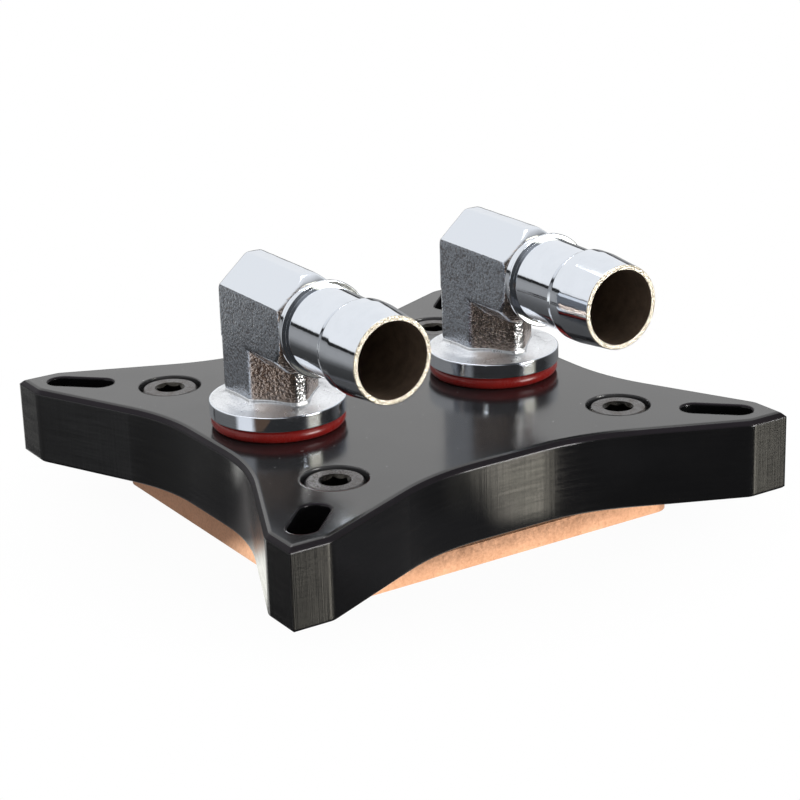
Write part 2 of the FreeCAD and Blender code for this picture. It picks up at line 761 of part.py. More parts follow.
def turn_barb(body):
    """Cone, neck, collar and hose barb, turned about the arm's axis."""
    cone = new_sketch(body, "ConeSection", "YZ_Plane", shift="arm_height")
    draw_polygon(
        cone,
        [
            ("-arm_front - 1", "front_cone_radius - 1"),
            ("-arm_front + 3", "front_cone_radius + 3"),
            ("-arm_front - 1", "front_cone_radius + 3"),
        ],
    )
    revolve(body, "FrontCone", cone, "H_Axis", cut=True)

    section = new_sketch(body, "BarbSection", "YZ_Plane", shift="arm_height")
    collar_round = "collar_length / 4"
    draw_polygon(
        section,
        [
            ("-arm_front + passage_overrun", "0"),
            ("-arm_front + passage_overrun", "neck_radius"),
            (negated(COLLAR_BACK), "neck_radius"),
            (negated(COLLAR_BACK), f"collar_radius - {collar_round}"),
            (f"-{COLLAR_BACK} - {collar_round}", "collar_radius"),
            (f"-{BARB_ROOT} + {collar_round}", "collar_radius"),
            (negated(BARB_ROOT), f"collar_radius - {collar_round}"),
            (negated(BARB_ROOT), "root_radius"),
            (negated(BARB_FLARE), "root_radius"),
            (negated(BARB_LAND), "barb_radius"),
            (negated(BARB_TAPER), "barb_radius"),
            (f"-{MOUTH} + mouth_chamfer", "mouth_radius"),
            (negated(MOUTH), "mouth_radius - mouth_chamfer"),
            (negated(MOUTH), "0"),
        ],
    )
    revolve(body, "Barb", section, "H_Axis")


def bore_passages(body):
    """Drilled passage up the leg and stepped bore along the arm."""
    drill = new_sketch(body, "LegPassage", "XY_Plane", "-stub_length")
    draw_circle(drill, "0", "0", "passage_radius")
    pocket(body, "LegBore", drill, "stub_length + arm_height", upward=True)

    section = new_sketch(body, "ArmPassage", "YZ_Plane", shift="arm_height")
    step = "mouth_bore_radius - passage_radius"
    draw_polygon(
        section,
        [
            (negated(MOUTH), "0"),
            (negated(MOUTH), "mouth_bore_radius"),
            (f"-{MOUTH} + mouth_bore_length", "mouth_bore_radius"),
            (f"-{MOUTH} + mouth_bore_length + {step}", "passage_radius"),
            ("passage_overrun", "passage_radius"),
            ("passage_overrun + passage_radius * tan(31)", "0"),
        ],
    )
    revolve(body, "ArmBore", section, "H_Axis", cut=True)


# ---------------------------------------------------------------- document


def check(doc, pieces):
    """Stop on any object or piece that FreeCAD could not make."""
    for item in doc.Objects:
        if "Invalid" in item.State or "Error" in item.State:
            raise RuntimeError(f"{item.Label} failed: {item.State}")
    for piece in pieces:
        shape = piece.Shape
        if shape.isNull() or not shape.isValid() or len(shape.Solids) != 1:
            raise RuntimeError(f"{piece.Label} is not one valid solid")


def main():
    """Build every piece, check it and write one STEP file for each."""
    doc = FreeCAD.newDocument("ColdPlate")
    make_sheet(doc)
    pieces = [make_base_plate(doc), make_cover(doc), make_main_seal(doc)]
    for name, x_sign, y_sign, turn in SCREWS:
        pieces.append(make_screw(doc, name, x_sign, y_sign, turn))
    for side, sign in PORTS:
        pieces.append(make_elbow(doc, side, sign))
        pieces.append(make_port_ring(doc, side, sign))
    doc.recompute()
    check(doc, pieces)
    os.makedirs("parts", exist_ok=True)
    for piece in pieces:
        piece.Shape.exportStep(f"parts/{piece.Label}.step")
        print(f"{piece.Label}: {piece.Shape.Volume:.1f} mm3")


main()
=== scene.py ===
"""Liquid cooling cold plate: copper base, black acetal cover and two chromed hose elbows.

Metres, +Z up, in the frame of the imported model. The sizes of the pieces and of the patterns
in their finishes are in millimetres, and are scaled once, where a mesh or a node is made.
The studio's sizes are in metres.
"""
import logging
import math
from dataclasses import dataclass, field
from enum import Enum
from functools import reduce

import bmesh
import bpy
import numpy as np
from mathutils import Matrix, Vector


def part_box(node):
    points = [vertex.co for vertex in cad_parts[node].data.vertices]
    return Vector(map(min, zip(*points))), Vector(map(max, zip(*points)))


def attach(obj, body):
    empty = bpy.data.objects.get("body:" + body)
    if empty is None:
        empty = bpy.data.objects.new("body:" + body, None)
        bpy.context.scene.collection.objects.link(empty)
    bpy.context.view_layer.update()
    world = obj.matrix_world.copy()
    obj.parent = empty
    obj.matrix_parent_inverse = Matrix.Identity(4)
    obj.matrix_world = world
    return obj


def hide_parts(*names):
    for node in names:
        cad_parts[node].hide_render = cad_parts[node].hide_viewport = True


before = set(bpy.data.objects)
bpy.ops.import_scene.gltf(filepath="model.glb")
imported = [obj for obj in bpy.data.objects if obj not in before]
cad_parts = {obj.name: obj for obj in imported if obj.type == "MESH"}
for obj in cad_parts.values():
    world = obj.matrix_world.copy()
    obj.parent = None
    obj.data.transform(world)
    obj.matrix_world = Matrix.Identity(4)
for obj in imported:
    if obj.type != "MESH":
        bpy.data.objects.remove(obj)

LOG = logging.getLogger("cold_plate")
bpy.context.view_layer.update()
MM = 0.001
WELD = 1e-7  # points nearer to each other than this, in metres, are made one
TINY = 1e-6  # stands in for nothing where a number is divided by
ARC_SHARE = 0.45  # the most of its shorter side that a rounded corner takes
GUARD = 0.04  # from a rounded corner to the close point beside it
GUARD_SHARE = 0.2  # the most of the corner's own cut that this may be

Socket = bpy.types.NodeSocket
Material = bpy.types.Material
Colour = tuple[float, float, float, float]
Triple = tuple[float, float, float]
Range = tuple[float, float, float, float]  # low, high, and what each of them becomes


class Side(Enum):
    """The two ports, by the sign of their X."""

    LEFT = -1
    RIGHT = 1


class Corner(Enum):
    """The four screws, by how far each one is turned, in degrees."""

    FRONT_LEFT = 8.0
    FRONT_RIGHT = 27.0
    BACK_RIGHT = 41.0
    BACK_LEFT = 17.0


class Axis(Enum):
    """The axes that turned surfaces are spun about: along, first radial, second radial."""

    UP = ((0, 0, 1), (1, 0, 0), (0, 1, 0))
    FORWARD = ((0, -1, 0), (1, 0, 0), (0, 0, 1))


# ---------------------------------------------------------------- surfaces


@dataclass
class Surface:
    """Points in millimetres, four-cornered faces, and where each face corner lies in UV."""

    points: np.ndarray
    quads: np.ndarray
    corners: np.ndarray
    finish: np.ndarray

    @classmethod
    def from_grid(
        cls, grid: np.ndarray, wrap_rows: bool, wrap_columns: bool, uv: np.ndarray | None = None
    ) -> "Surface":
        """Sheet of faces over a grid of points, closed on itself where a direction wraps.

        Args:
            grid: points, rows by columns by three.
            wrap_rows: whether the last row joins the first.
            wrap_columns: whether the last column joins the first.
            uv: one coordinate pair a grid point, with an added row or column where it wraps.

        Returns:
            The surface, one face to each cell of the grid.
        """
        rows, columns = grid.shape[:2]
        down = np.arange(rows if wrap_rows else rows - 1)
        across = np.arange(columns if wrap_columns else columns - 1)
        i, j = np.meshgrid(down, across, indexing="ij")
        steps = [(0, 0), (0, 1), (1, 1), (1, 0)]
        quads = np.stack(
            [((i + a) % rows) * columns + (j + b) % columns for a, b in steps], axis=-1
        ).reshape(-1, 4)
        if uv is None:
            corners = np.zeros((len(quads), 4, 2))
        else:
            corners = np.stack([uv[i + a, j + b] for a, b in steps], axis=2).reshape(-1, 4, 2)
        return cls(grid.reshape(-1, 3), quads, corners, np.zeros(len(quads), dtype=int))

    def joined(self, *others: "Surface") -> "Surface":
        """This surface and others as one, with their points kept apart.

        Args:
            others: the surfaces to add.

        Returns:
            The new surface.
        """
        parts = [self, *others]
        starts = np.cumsum([0] + [len(part.points) for part in parts[:-1]])
        return Surface(
            np.concatenate([part.points for part in parts]),
            np.concatenate([part.quads + start for part, start in zip(parts, starts)]),
            np.concatenate([part.corners for part in parts]),
            np.concatenate([part.finish for part in parts]),
        )

    def moved(self, x: float, y: float, z: float) -> "Surface":
        """The surface carried to a place given in millimetres."""
        return Surface(self.points + np.array([x, y, z]), self.quads, self.corners, self.finish)

    def face_means(self, values: np.ndarray) -> np.ndarray:
        """Mean over each face's corners of what is given at the points."""
        return values[self.quads].mean(1)

    def make(self, name: str, materials: list[Material]) -> bpy.types.Object:
        """Turn the surface into a closed, smooth object whose faces point outwards.

        Args:
            name: the object's name.
            materials: its finishes, in the order that the faces count them.

        Returns:
            The new object, with its place in its mesh.
        """
        mesh = bpy.data.meshes.new(name)
        mesh.from_pydata((self.points * MM).tolist(), [], self.quads.tolist())
        layer = mesh.uv_layers.new(name="UVMap")
        layer.data.foreach_set("uv", self.corners.reshape(-1).astype(np.float32))
        mesh.polygons.foreach_set("material_index", self.finish.astype(np.int32))
        built = bmesh.new()
        built.from_mesh(mesh)
        bmesh.ops.remove_doubles(built, verts=built.verts, dist=WELD)
        bmesh.ops.recalc_face_normals(built, faces=built.faces)
        built.to_mesh(mesh)
        built.free()
        mesh.polygons.foreach_set("use_smooth", np.ones(len(mesh.polygons), dtype=bool))
        mesh.update()
        for material in materials:
            mesh.materials.append(material)
        piece = bpy.data.objects.new(name, mesh)
        bpy.context.scene.collection.objects.link(piece)
        LOG.info("%s: %d faces", name, len(mesh.polygons))
        return piece


def round_profile(corners: list[Triple], steps: int = 6) -> np.ndarray:
    """Closed profile with an arc at each corner and a close point on each side of the arc.

    Each arc is tangent to the two lines that meet at its corner: its centre lies on the
    bisector, at the radius divided by the sine of half the angle between the lines.

    Args:
        corners: distance along the axis, distance from the axis and arc radius of each corner.
        steps: number of chords in one arc.

    Returns:
        Points along the profile, as pairs of distance along and distance from the axis.
    """
    spots = np.array([corner[:2] for corner in corners], dtype=float)
    radii = np.array([corner[2] for corner in corners], dtype=float)
    before = np.roll(spots, 1, axis=0) - spots
    after = np.roll(spots, -1, axis=0) - spots
    reach_before = np.linalg.norm(before, axis=1)
    reach_after = np.linalg.norm(after, axis=1)
    before /= reach_before[:, None]
    after /= reach_after[:, None]
    half = np.arccos(np.clip((before * after).sum(1), -1, 1)) / 2
    most = ARC_SHARE * np.minimum(reach_before, reach_after)
    cut = np.minimum(radii / np.tan(half), most)
    radii = cut * np.tan(half)
    bisector = before + after
    bisector /= np.maximum(np.linalg.norm(bisector, axis=1), TINY)[:, None]
    centre = spots + bisector * (radii / np.sin(half))[:, None]
    start = spots + before * cut[:, None] - centre
    end = spots + after * cut[:, None] - centre
    share = np.linspace(0, 1, steps + 1)[None, :, None]
    sweep = (np.pi - 2 * half)[:, None, None]
    weight = np.where(sweep < TINY, 1 - share, np.sin((1 - share) * sweep) / np.sin(sweep))
    other = np.where(sweep < TINY, share, np.sin(share * sweep) / np.sin(sweep))
    arcs = centre[:, None] + weight * start[:, None] + other * end[:, None]
    guard = np.minimum(GUARD, GUARD_SHARE * cut)[:, None]
    lead = arcs[:, 0] + before * guard
    trail = arcs[:, -1] + after * guard
    return np.concatenate([lead[:, None], arcs, trail[:, None]], axis=1).reshape(-1, 2)


def run_along(outline: np.ndarray) -> tuple[np.ndarray, np.ndarray]:
    """A closed outline ending on its first point again, and the length up to each point."""
    loop = np.concatenate([outline, outline[:1]])
    return loop, np.concatenate([[0], np.cumsum(np.linalg.norm(np.diff(loop, axis=0), axis=1))])


def spin(profile: np.ndarray, axis: Axis, segments: int) -> Surface:
    """Closed profile turned about an axis: a grid of profile place by angle.

    A point is the axis times the distance along it, plus the distance from it times the
    cosine and sine of the angle on the two radial directions.

    Args:
        profile: closed profile, distance along and distance from the axis.
        axis: the axis it is spun about.
        segments: number of steps in the full turn.

    Returns:
        The ring-like surface. U runs with the turn and V with the length of the profile.
    """
    along, first, second = (np.array(vector, dtype=float) for vector in axis.value)
    angle = np.linspace(0, 2 * np.pi, segments, endpoint=False)
    radial = np.cos(angle)[:, None] * first + np.sin(angle)[:, None] * second
    grid = profile[:, None, :1] * along + profile[:, None, 1:] * radial[None]
    run = run_along(profile)[1]
    turn = np.linspace(0, 1, segments + 1)
    uv = np.stack(np.broadcast_arrays(turn[None, :], run[:, None]), axis=-1)
    return Surface.from_grid(grid, True, True, uv)


def box_of(node: str) -> tuple[np.ndarray, np.ndarray]:
    """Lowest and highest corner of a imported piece, in millimetres."""
    low, high = (np.array(corner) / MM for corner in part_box(node))
    return low, high


# ---------------------------------------------------------------- material recipes


@dataclass(frozen=True)
class Grain:
    """A noise: grains a millimetre, how fine and rough it is, and its squeeze by axis."""

    scale: float
    detail: float = 3
    rough: float = 0.5
    stretch: Triple = (1, 1, 1)


class Nodes:
    """A node tree built by short calls."""

    def __init__(self, tree: bpy.types.NodeTree) -> None:
        """Take over a tree and empty it."""
        self.tree = tree
        self.tree.nodes.clear()

    def feed(self, socket: Socket, value: object) -> None:
        """Give a socket a number, a colour or another socket's output.

        Args:
            socket: where it goes.
            value: what goes in.
        """
        if isinstance(value, Socket):
            self.tree.links.new(value, socket)
        else:
            socket.default_value = value

    def add(
        self, kind: str, feeds: dict[str | int, object] | None = None, **options: object
    ) -> bpy.types.Node:
        """New node with its plain options set and its inputs fed.

        Args:
            kind: the type of node.
            feeds: what goes into its inputs, by their name or number.
            options: its plain options, by their name.

        Returns:
            The node.
        """
        node = self.tree.nodes.new(kind)
        for option, value in options.items():
            setattr(node, option, value)
        for name, value in (feeds or {}).items():
            self.feed(node.inputs[name], value)
        return node

    def maths(self, operation: str, first: object, second: object = 0.0) -> Socket:
        """One operation on two values."""
        feeds = {0: first, 1: second}
        return self.add("ShaderNodeMath", feeds, operation=operation).outputs["Value"]

    def plus(self, *values: object) -> Socket:
        """Sum of values."""
        return reduce(lambda first, second: self.maths("ADD", first, second), values)

    def times(self, *values: object) -> Socket:
        """Product of values."""
        return reduce(lambda first, second: self.maths("MULTIPLY", first, second), values)

    def distance(self, first: Socket, second: Socket) -> Socket:
        """Root of the sum of two squares."""
        return self.maths("SQRT", self.plus(self.times(first, first), self.times(second, second)))

    def azimuth(self, x: Socket, y: Socket) -> Socket:
        """Angle round the upright axis in radians, from the front towards +X."""
        return self.maths("ARCTAN2", x, self.times(y, -1.0))

    def span(self, value: Socket, low: float, high: float, start: float, end: float) -> Socket:
        """Carry a value from one range to another, and stop at its ends.

        Args:
            value: what is carried.
            low: where the first range starts.
            high: where the first range ends.
            start: what the low end becomes.
            end: what the high end becomes.

        Returns:
            The carried value.
        """
        names = ("Value", "From Min", "From Max", "To Min", "To Max")
        feeds = dict(zip(names, (value, low, high, start, end)))
        return self.add("ShaderNodeMapRange", feeds).outputs["Result"]

    def rise(self, value: Socket, middle: float, soft: float) -> Socket:
        """0 below a value and 1 above it, turning within a width to each side of it."""
        return self.span(value, middle - soft, middle + soft, 0.0, 1.0)

    def fall(self, value: Socket, middle: float, soft: float) -> Socket:
        """1 below a value and 0 above it, turning within a width to each side of it."""
        return self.span(value, middle - soft, middle + soft, 1.0, 0.0)

    def about(self, azimuth: Socket, degrees: float, half_width: float, soft: float) -> Socket:
        """1 where an azimuth is near to a given one, with soft sides.

        Args:
            azimuth: in radians.
            degrees: the given one, in degrees.
            half_width: how near is near, in degrees.
            soft: the share of the half width in which a side turns, inwards and outwards.

        Returns:
            The value.
        """
        off = self.maths("ABSOLUTE", self.maths("SUBTRACT", azimuth, math.radians(degrees)))
        wide = math.radians(half_width)
        return self.span(off, (1 - soft) * wide, (1 + soft) * wide, 1.0, 0.0)

    def between(
        self, share: object, first: object, second: object, kind: str = "FLOAT"
    ) -> Socket:
        """Number between two numbers, by a share."""
        feeds = {"Factor": share, "A": first, "B": second}
        return self.add("ShaderNodeMix", feeds, data_type=kind).outputs["Result"]

    def blend(self, share: object, first: object, second: object) -> Socket:
        """Colour between two colours, by a share."""
        return self.between(share, first, second, "RGBA")

    def mix(self, share: Socket, first: Socket, second: Socket) -> Socket:
        """Shader between two shaders, by a share."""
        return self.add("ShaderNodeMixShader", {0: share, 1: first, 2: second}).outputs["Shader"]

    def split(self, vector: Socket) -> list[Socket]:
        """The three parts of a vector."""
        return list(self.add("ShaderNodeSeparateXYZ", {"Vector": vector}).outputs)

    def ramp(self, value: Socket, stops: list[tuple[float, Colour]]) -> Socket:
        """Colour by a value from 0 to 1, straight between stops.

        Args:
            value: where on the ramp.
            stops: place and colour of each stop, from the lowest place up.

        Returns:
            The colour.
        """
        node = self.add("ShaderNodeValToRGB", {"Fac": value})
        points = node.color_ramp.elements
        for point, (place, colour) in zip([points[0], points[1]], (stops[0], stops[-1])):
            point.position, point.color = place, colour
        for place, colour in stops[1:-1]:
            points.new(place).color = colour
        return node.outputs["Color"]

    def seen(self) -> Socket:
        """1 for rays from the camera, a clear surface or a gloss, else 0.

        Returns:
            The value.
        """
        path = self.add("ShaderNodeLightPath").outputs
        clear = self.maths("MAXIMUM", path["Is Camera Ray"], path["Is Transmission Ray"])
        return self.maths("MAXIMUM", clear, path["Is Glossy Ray"])


class Recipe(Nodes):
    """A material's node tree with its shader and output. Lengths in it are in millimetres."""

    def __init__(self, name: str) -> None:
        """Start an empty material.

        Args:
            name: the material's name.
        """
        self.material = bpy.data.materials.new(name)
        self.material.use_nodes = True
        super().__init__(self.material.node_tree)
        self.output = self.add("ShaderNodeOutputMaterial")
        self.shader = self.add("ShaderNodeBsdfPrincipled")
        self.feed(self.output.inputs["Surface"], self.shader.outputs["BSDF"])

    def scaled(self, vector: Socket, scale: Triple) -> Socket:
        """A vector with each part multiplied by a factor."""
        return self.add("ShaderNodeMapping", {"Vector": vector, "Scale": scale}).outputs["Vector"]

    def place(self, stretch: Triple = (1, 1, 1)) -> Socket:
        """Object coordinates in millimetres, squeezed along each axis by a factor."""
        spot = self.add("ShaderNodeTexCoord").outputs["Object"]
        return self.scaled(spot, tuple(part / MM for part in stretch))

    def run(self) -> Socket:
        """Length along a turned profile in millimetres, the same all round."""
        spot = self.add("ShaderNodeUVMap", uv_map="UVMap").outputs["UV"]
        return self.scaled(spot, (0.0, 1.0, 0.0))

    def noise(self, grain: Grain, where: Socket | None = None) -> Socket:
        """Noise value from 0 to 1.

        Args:
            grain: its fineness and its squeeze.
            where: coordinates to lay it on, which are the object's own if none are given.

        Returns:
            The value.
        """
        feeds = {
            "Vector": self.place(grain.stretch) if where is None else where,
            "Scale": grain.scale,
            "Detail": grain.detail,
            "Roughness": grain.rough,
        }
        return self.add("ShaderNodeTexNoise", feeds).outputs["Fac"]

    def eased(self, radius: float, samples: int = 8) -> Socket:
        """A normal that turns smoothly over each edge, within a radius."""
        feeds = {"Radius": radius * MM}
        return self.add("ShaderNodeBevel", feeds, samples=samples).outputs["Normal"]

    def bump(self, height: Socket, depth: float, under: Socket | None = None) -> Socket:
        """Normal that follows a height.

        Args:
            height: from 0 to 1.
            depth: what the height's full range stands for.
            under: the normal that it starts from, if not the surface's own.

        Returns:
            The normal.
        """
        node = self.add("ShaderNodeBump", {"Distance": depth * MM, "Height": height})
        if under is not None:
            self.feed(node.inputs["Normal"], under)
        return node.outputs["Normal"]

    def facing(self) -> list[Socket]:
        """The three parts of the direction that the surface faces."""
        return self.split(self.add("ShaderNodeNewGeometry").outputs["True Normal"])

    def finish(
        self,
        colour: Socket,
        roughness: Socket,
        normal: Socket,
        metallic: Socket | float = 0.0,
        ior: float = 1.5,
    ) -> Material:
        """Feed the shader with all that the finish is made of.

        Args:
            colour: its base colour.
            roughness: from 0, a mirror, to 1.
            normal: the bumped normal.
            metallic: 1 where it is metal.
            ior: index of refraction.

        Returns:
            The finished material.
        """
        names = ("Base Color", "Roughness", "Normal", "Metallic", "IOR")
        for name, value in zip(names, (colour, roughness, normal, metallic, ior)):
            self.feed(self.shader.inputs[name], value)
        return self.material


def grey(level: float) -> Colour:
    """Opaque neutral colour."""
    return (level, level, level, 1.0)


@dataclass(frozen=True)
class Acetal:
    """Milled black acetal: satin top, tool lines down the walls, walls darker than the top in
    painted shade, and chamfers made metallic on a dark base so that their gloss is dimmed, also
    painted shade.
    """

    # The walls' colour, darker than the top's, is painted shade; the chamfers' dark colour is their
    # metallic reflectance, which dims their gloss: painted shade.
    shaded_wall: Colour = (0.0045, 0.0045, 0.005, 1.0)
    face: Colour = (0.019, 0.019, 0.020, 1.0)
    dimmed_chamfer: Colour = (0.024, 0.021, 0.025, 1.0)
    bored: Colour = (0.055, 0.055, 0.057, 1.0)
    clouded: Colour = (0.012, 0.0115, 0.012, 1.0)
    dust: Colour = (0.35, 0.35, 0.35, 1.0)
    bored_radius: float = 5.6
    bored_edge: float = 0.2
    top_roughness: float = 0.145
    wall_roughness: float = 0.16
    slope_roughness: float = 0.26
    slope_up: float = 0.707
    top: Range = (0.85, 0.95, 0.0, 1.0)
    slope: Range = (0.0, 0.2, 1.0, 0.0)
    clouding: Range = (0.45, 0.8, 0.0, 0.3)
    dusting: Range = (0.765, 0.79, 0.0, 1.0)
    top_dulling: Range = (0.3, 0.7, -0.03, 0.04)
    wall_dulling: Range = (0.3, 0.7, -0.04, 0.06)
    edge_radius: float = 0.45
    carving: float = 0.007
    fine_weight: float = 0.5
    streak_weight: float = 0.12
    pores: float = 0.0014
    cloud: Grain = Grain(0.10, 4)
    pore: Grain = Grain(9.0, 3, 0.6)
    lines: Grain = Grain(4.5, 2, 0.6, (1, 1, 0.008))
    fine_lines: Grain = Grain(9.0, 1, 0.5, (1, 1, 0.008))
    streak: Grain = Grain(2.6, 2, 0.5, (0.05, 0.05, 1))
    speck: Grain = Grain(1.7, 2, 0.4)

    def material(self) -> Material:
        """Node tree of the finish, by how far up each place faces.

        Returns:
            The finished material.
        """
        recipe = Recipe("black_acetal")
        up = recipe.facing()[2]
        top = recipe.span(up, *self.top)
        tilt = recipe.maths("ABSOLUTE", recipe.maths("SUBTRACT", up, self.slope_up))
        slope = recipe.span(tilt, *self.slope)
        cloud = recipe.noise(self.cloud)
        streaks = recipe.noise(self.streak)
        # Painted shade: the walls take a darker colour than the top, the chamfers a dark one.
        tone = recipe.blend(slope, self.shaded_wall, self.dimmed_chamfer)
        tone = recipe.blend(self.near_screws(recipe), tone, self.bored)
        tone = recipe.blend(top, tone, self.face)
        tone = recipe.blend(recipe.span(cloud, *self.clouding), tone, self.clouded)
        dust = recipe.times(recipe.span(recipe.noise(self.speck), *self.dusting), top)
        flat = recipe.plus(recipe.span(cloud, *self.top_dulling), self.top_roughness)
        upright = recipe.plus(
            recipe.span(streaks, *self.wall_dulling),
            self.wall_roughness,
            recipe.times(slope, self.slope_roughness),
        )
        carved = recipe.plus(
            recipe.noise(self.lines),
            recipe.times(recipe.noise(self.fine_lines), self.fine_weight),
            recipe.times(streaks, self.streak_weight),
        )
        carved = recipe.times(carved, recipe.maths("SUBTRACT", 1.0, top))
        normal = recipe.bump(carved, self.carving, recipe.eased(self.edge_radius))
        return recipe.finish(
            recipe.blend(dust, tone, self.dust),
            recipe.between(top, upright, flat),
            recipe.bump(recipe.noise(self.pore), self.pores, normal),
            # Metallic on the chamfers dims their gloss: painted shade.
            slope,
            ior=1.6,
        )

    def near_screws(self, recipe: Recipe) -> Socket:
        """1 inside the counterbores, by the distance from the nearest screw's axis.

        Args:
            recipe: the node tree that it is worked out in.

        Returns:
            The value.
        """
        low, high = box_of("screw_front_right")
        away = recipe.distance(
            *(
                recipe.maths("SUBTRACT", recipe.maths("ABSOLUTE", part), abs(bottom + top) / 2)
                for part, bottom, top in zip(recipe.split(recipe.place()), low[:2], high[:2])
            )
        )
        return recipe.span(away, self.bored_radius - self.bored_edge, self.bored_radius, 1.0, 0.0)


@dataclass(frozen=True)
class Copper:
    """Bare milled copper: fine lines along the walls, warm brown in clouds where it has tarnished,
    and the same brown as painted shade at the rounded corners and under the cover's edge.
    """

    bright: Colour = (0.93, 0.53, 0.33, 1.0)
    dull: Colour = (0.60, 0.31, 0.18, 1.0)
    roughness: float = 0.36
    milling: float = 0.012
    clouding: Range = (0.45, 0.75, 0.0, 0.45)
    mottling: Range = (0.42, 0.68, 0.0, 0.45)
    trickling: Range = (0.5, 0.75, 0.0, 0.15)
    # Painted shade: darker at the rounded upright corners and along the top edge, under the cover.
    shade_at_corners: Range = (0.02, 0.25, 0.0, 0.5)
    shade_under_cover: Range = (3.6, 4.6, 0.0, 0.5)
    dulling: Range = (0.3, 0.7, -0.06, 0.10)
    flat: Range = (0.5, 0.9, 0.0, 1.0)
    wall_lines: Grain = Grain(5.0, 3, 0.6, (0.04, 0.04, 1))
    flat_lines: Grain = Grain(6.0, 2, 0.6, (0.05, 1, 0.05))
    cloud: Grain = Grain(0.16, 5, 0.6)
    mottle: Grain = Grain(2.2, 3, 0.65)
    trickle: Grain = Grain(1.8, 2, 0.6, (1, 1, 0.05))
    wear: Grain = Grain(1.4, 4, 0.6)

    def material(self) -> Material:
        """Node tree of the finish: tarnish by noise, and painted shade at the corners and at the
        upper edge, under the cover.

        Returns:
            The finished material.
        """
        recipe = Recipe("bare_copper")
        aside, ahead, up = (recipe.maths("ABSOLUTE", part) for part in recipe.facing())
        height = recipe.split(recipe.place())[2]
        # Tarnish by noise, plus painted shade at the corners and under the cover's edge.
        stain_and_shade = recipe.plus(
            recipe.span(recipe.noise(self.cloud), *self.clouding),
            recipe.span(recipe.noise(self.mottle), *self.mottling),
            recipe.span(recipe.noise(self.trickle), *self.trickling),
            recipe.span(recipe.times(aside, ahead), *self.shade_at_corners),
            recipe.span(height, *self.shade_under_cover),
        )
        wear = recipe.span(recipe.noise(self.wear), *self.dulling)
        flat = recipe.span(up, *self.flat)
        lines = recipe.between(flat, recipe.noise(self.wall_lines), recipe.noise(self.flat_lines))
        return recipe.finish(
            recipe.blend(recipe.maths("MINIMUM", stain_and_shade, 1.0), self.bright, self.dull),
            recipe.plus(wear, self.roughness),
            recipe.bump(lines, self.milling),
            metallic=1.0,
        )


@dataclass(frozen=True)
class Chrome:
    """Bright chrome plate over a turned surface: turning lines and faint smears."""

    name: str = "turned_chrome"
    groove: float = 0.0006
    tint: Colour = (0.76, 0.80, 0.86, 1.0)
    smeared: Colour = (0.69, 0.73, 0.79, 1.0)
    roughness: float = 0.045
    swell: float = 0.012
    smearing: Range = (0.4, 0.75, 0.0, 0.5)
    dulling: Range = (0.35, 0.75, 0.0, 0.06)
    smear: Grain = Grain(0.35, 4, 0.6)
    turning: Grain = Grain(5.0, 2, 0.6)
    slow: Grain = Grain(0.6, 2)

    def material(self) -> Material:
        """Node tree of the finish.

        Returns:
            The finished material.
        """
        recipe = Recipe(self.name)
        smear = recipe.noise(self.smear)
        turned = recipe.bump(recipe.noise(self.turning, recipe.run()), self.groove)
        return recipe.finish(
            recipe.blend(recipe.span(smear, *self.smearing), self.tint, self.smeared),
            recipe.plus(recipe.span(smear, *self.dulling), self.roughness),
            recipe.bump(recipe.noise(self.slow), self.swell, turned),
            metallic=1.0,
        )


@dataclass(frozen=True)
class ForgedChrome:
    """Chrome plate over a forged skin.

    The roof facets were linished and are nearly smooth, the flat sides keep a fine grain,
    and the leg's front facets a coarse one. The tint goes by which way a place faces: the
    sides' darker tint is painted shade, and the front facets' brown is a painted reflection.
    """

    # Tints by facing: the roof keeps the chrome's pale tint, the sides' darker tint is painted
    # shade, the front facets' brown a painted reflection.
    roof: Colour = (0.73, 0.77, 0.83, 1.0)
    side: Colour = (0.50, 0.54, 0.60, 1.0)
    front: Colour = (0.61, 0.50, 0.43, 1.0)
    ridge: Colour = (0.62, 0.62, 0.62, 1.0)
    pit: Colour = (0.22, 0.20, 0.20, 1.0)
    roof_facing: Range = (0.25, 0.5, 0.0, 1.0)
    front_facing: Range = (-0.65, -0.5, 1.0, 0.0)
    ridge_facing: Range = (-0.97, -0.9, 1.0, 0.0)
    pitting: Range = (0.38, 0.50, 0.7, 0.0)
    dulling: Range = (0.35, 0.7, 0.0, 0.10)
    roof_roughness: float = 0.13
    skin_roughness: float = 0.17
    roof_depth: float = 0.005
    side_depth: float = 0.07
    front_depth: float = 0.20
    swell_depth: float = 0.03
    swell: Grain = Grain(0.3, 2)
    grain: Grain = Grain(2.3, 2, 0.5)
    lumps: Grain = Grain(1.9, 2, 0.55)
    specks: Grain = Grain(6.0, 2, 0.6)

    def material(self) -> Material:
        """Node tree of the finish, by which way each place faces.

        Returns:
            The finished material.
        """
        recipe = Recipe("forged_chrome")
        back, up = recipe.facing()[1:]
        roof = recipe.span(up, *self.roof_facing)
        front = recipe.span(back, *self.front_facing)
        ridge = recipe.span(back, *self.ridge_facing)
        grain = recipe.noise(self.grain)
        lumps = recipe.noise(self.lumps)
        # Painted shade and painted reflection: the tint goes by which way the place faces.
        tint = recipe.blend(front, self.side, self.front)
        tint = recipe.blend(ridge, tint, self.ridge)
        pits = recipe.span(recipe.between(front, grain, lumps), *self.pitting)
        tint = recipe.blend(pits, tint, self.pit)
        specks = recipe.span(recipe.noise(self.specks), *self.dulling)
        skin = recipe.plus(specks, self.skin_roughness)
        lumps = recipe.times(lumps, self.front_depth)
        lumps = recipe.between(ridge, lumps, recipe.times(grain, self.front_depth))
        height = recipe.between(front, recipe.times(grain, self.side_depth), lumps)
        height = recipe.between(roof, height, recipe.times(grain, self.roof_depth))
        swell = recipe.times(recipe.noise(self.swell), self.swell_depth)
        return recipe.finish(
            recipe.blend(roof, tint, self.roof),
            recipe.between(roof, skin, self.roof_roughness),
            recipe.bump(recipe.plus(height, swell), 1.0),
            metallic=1.0,
        )


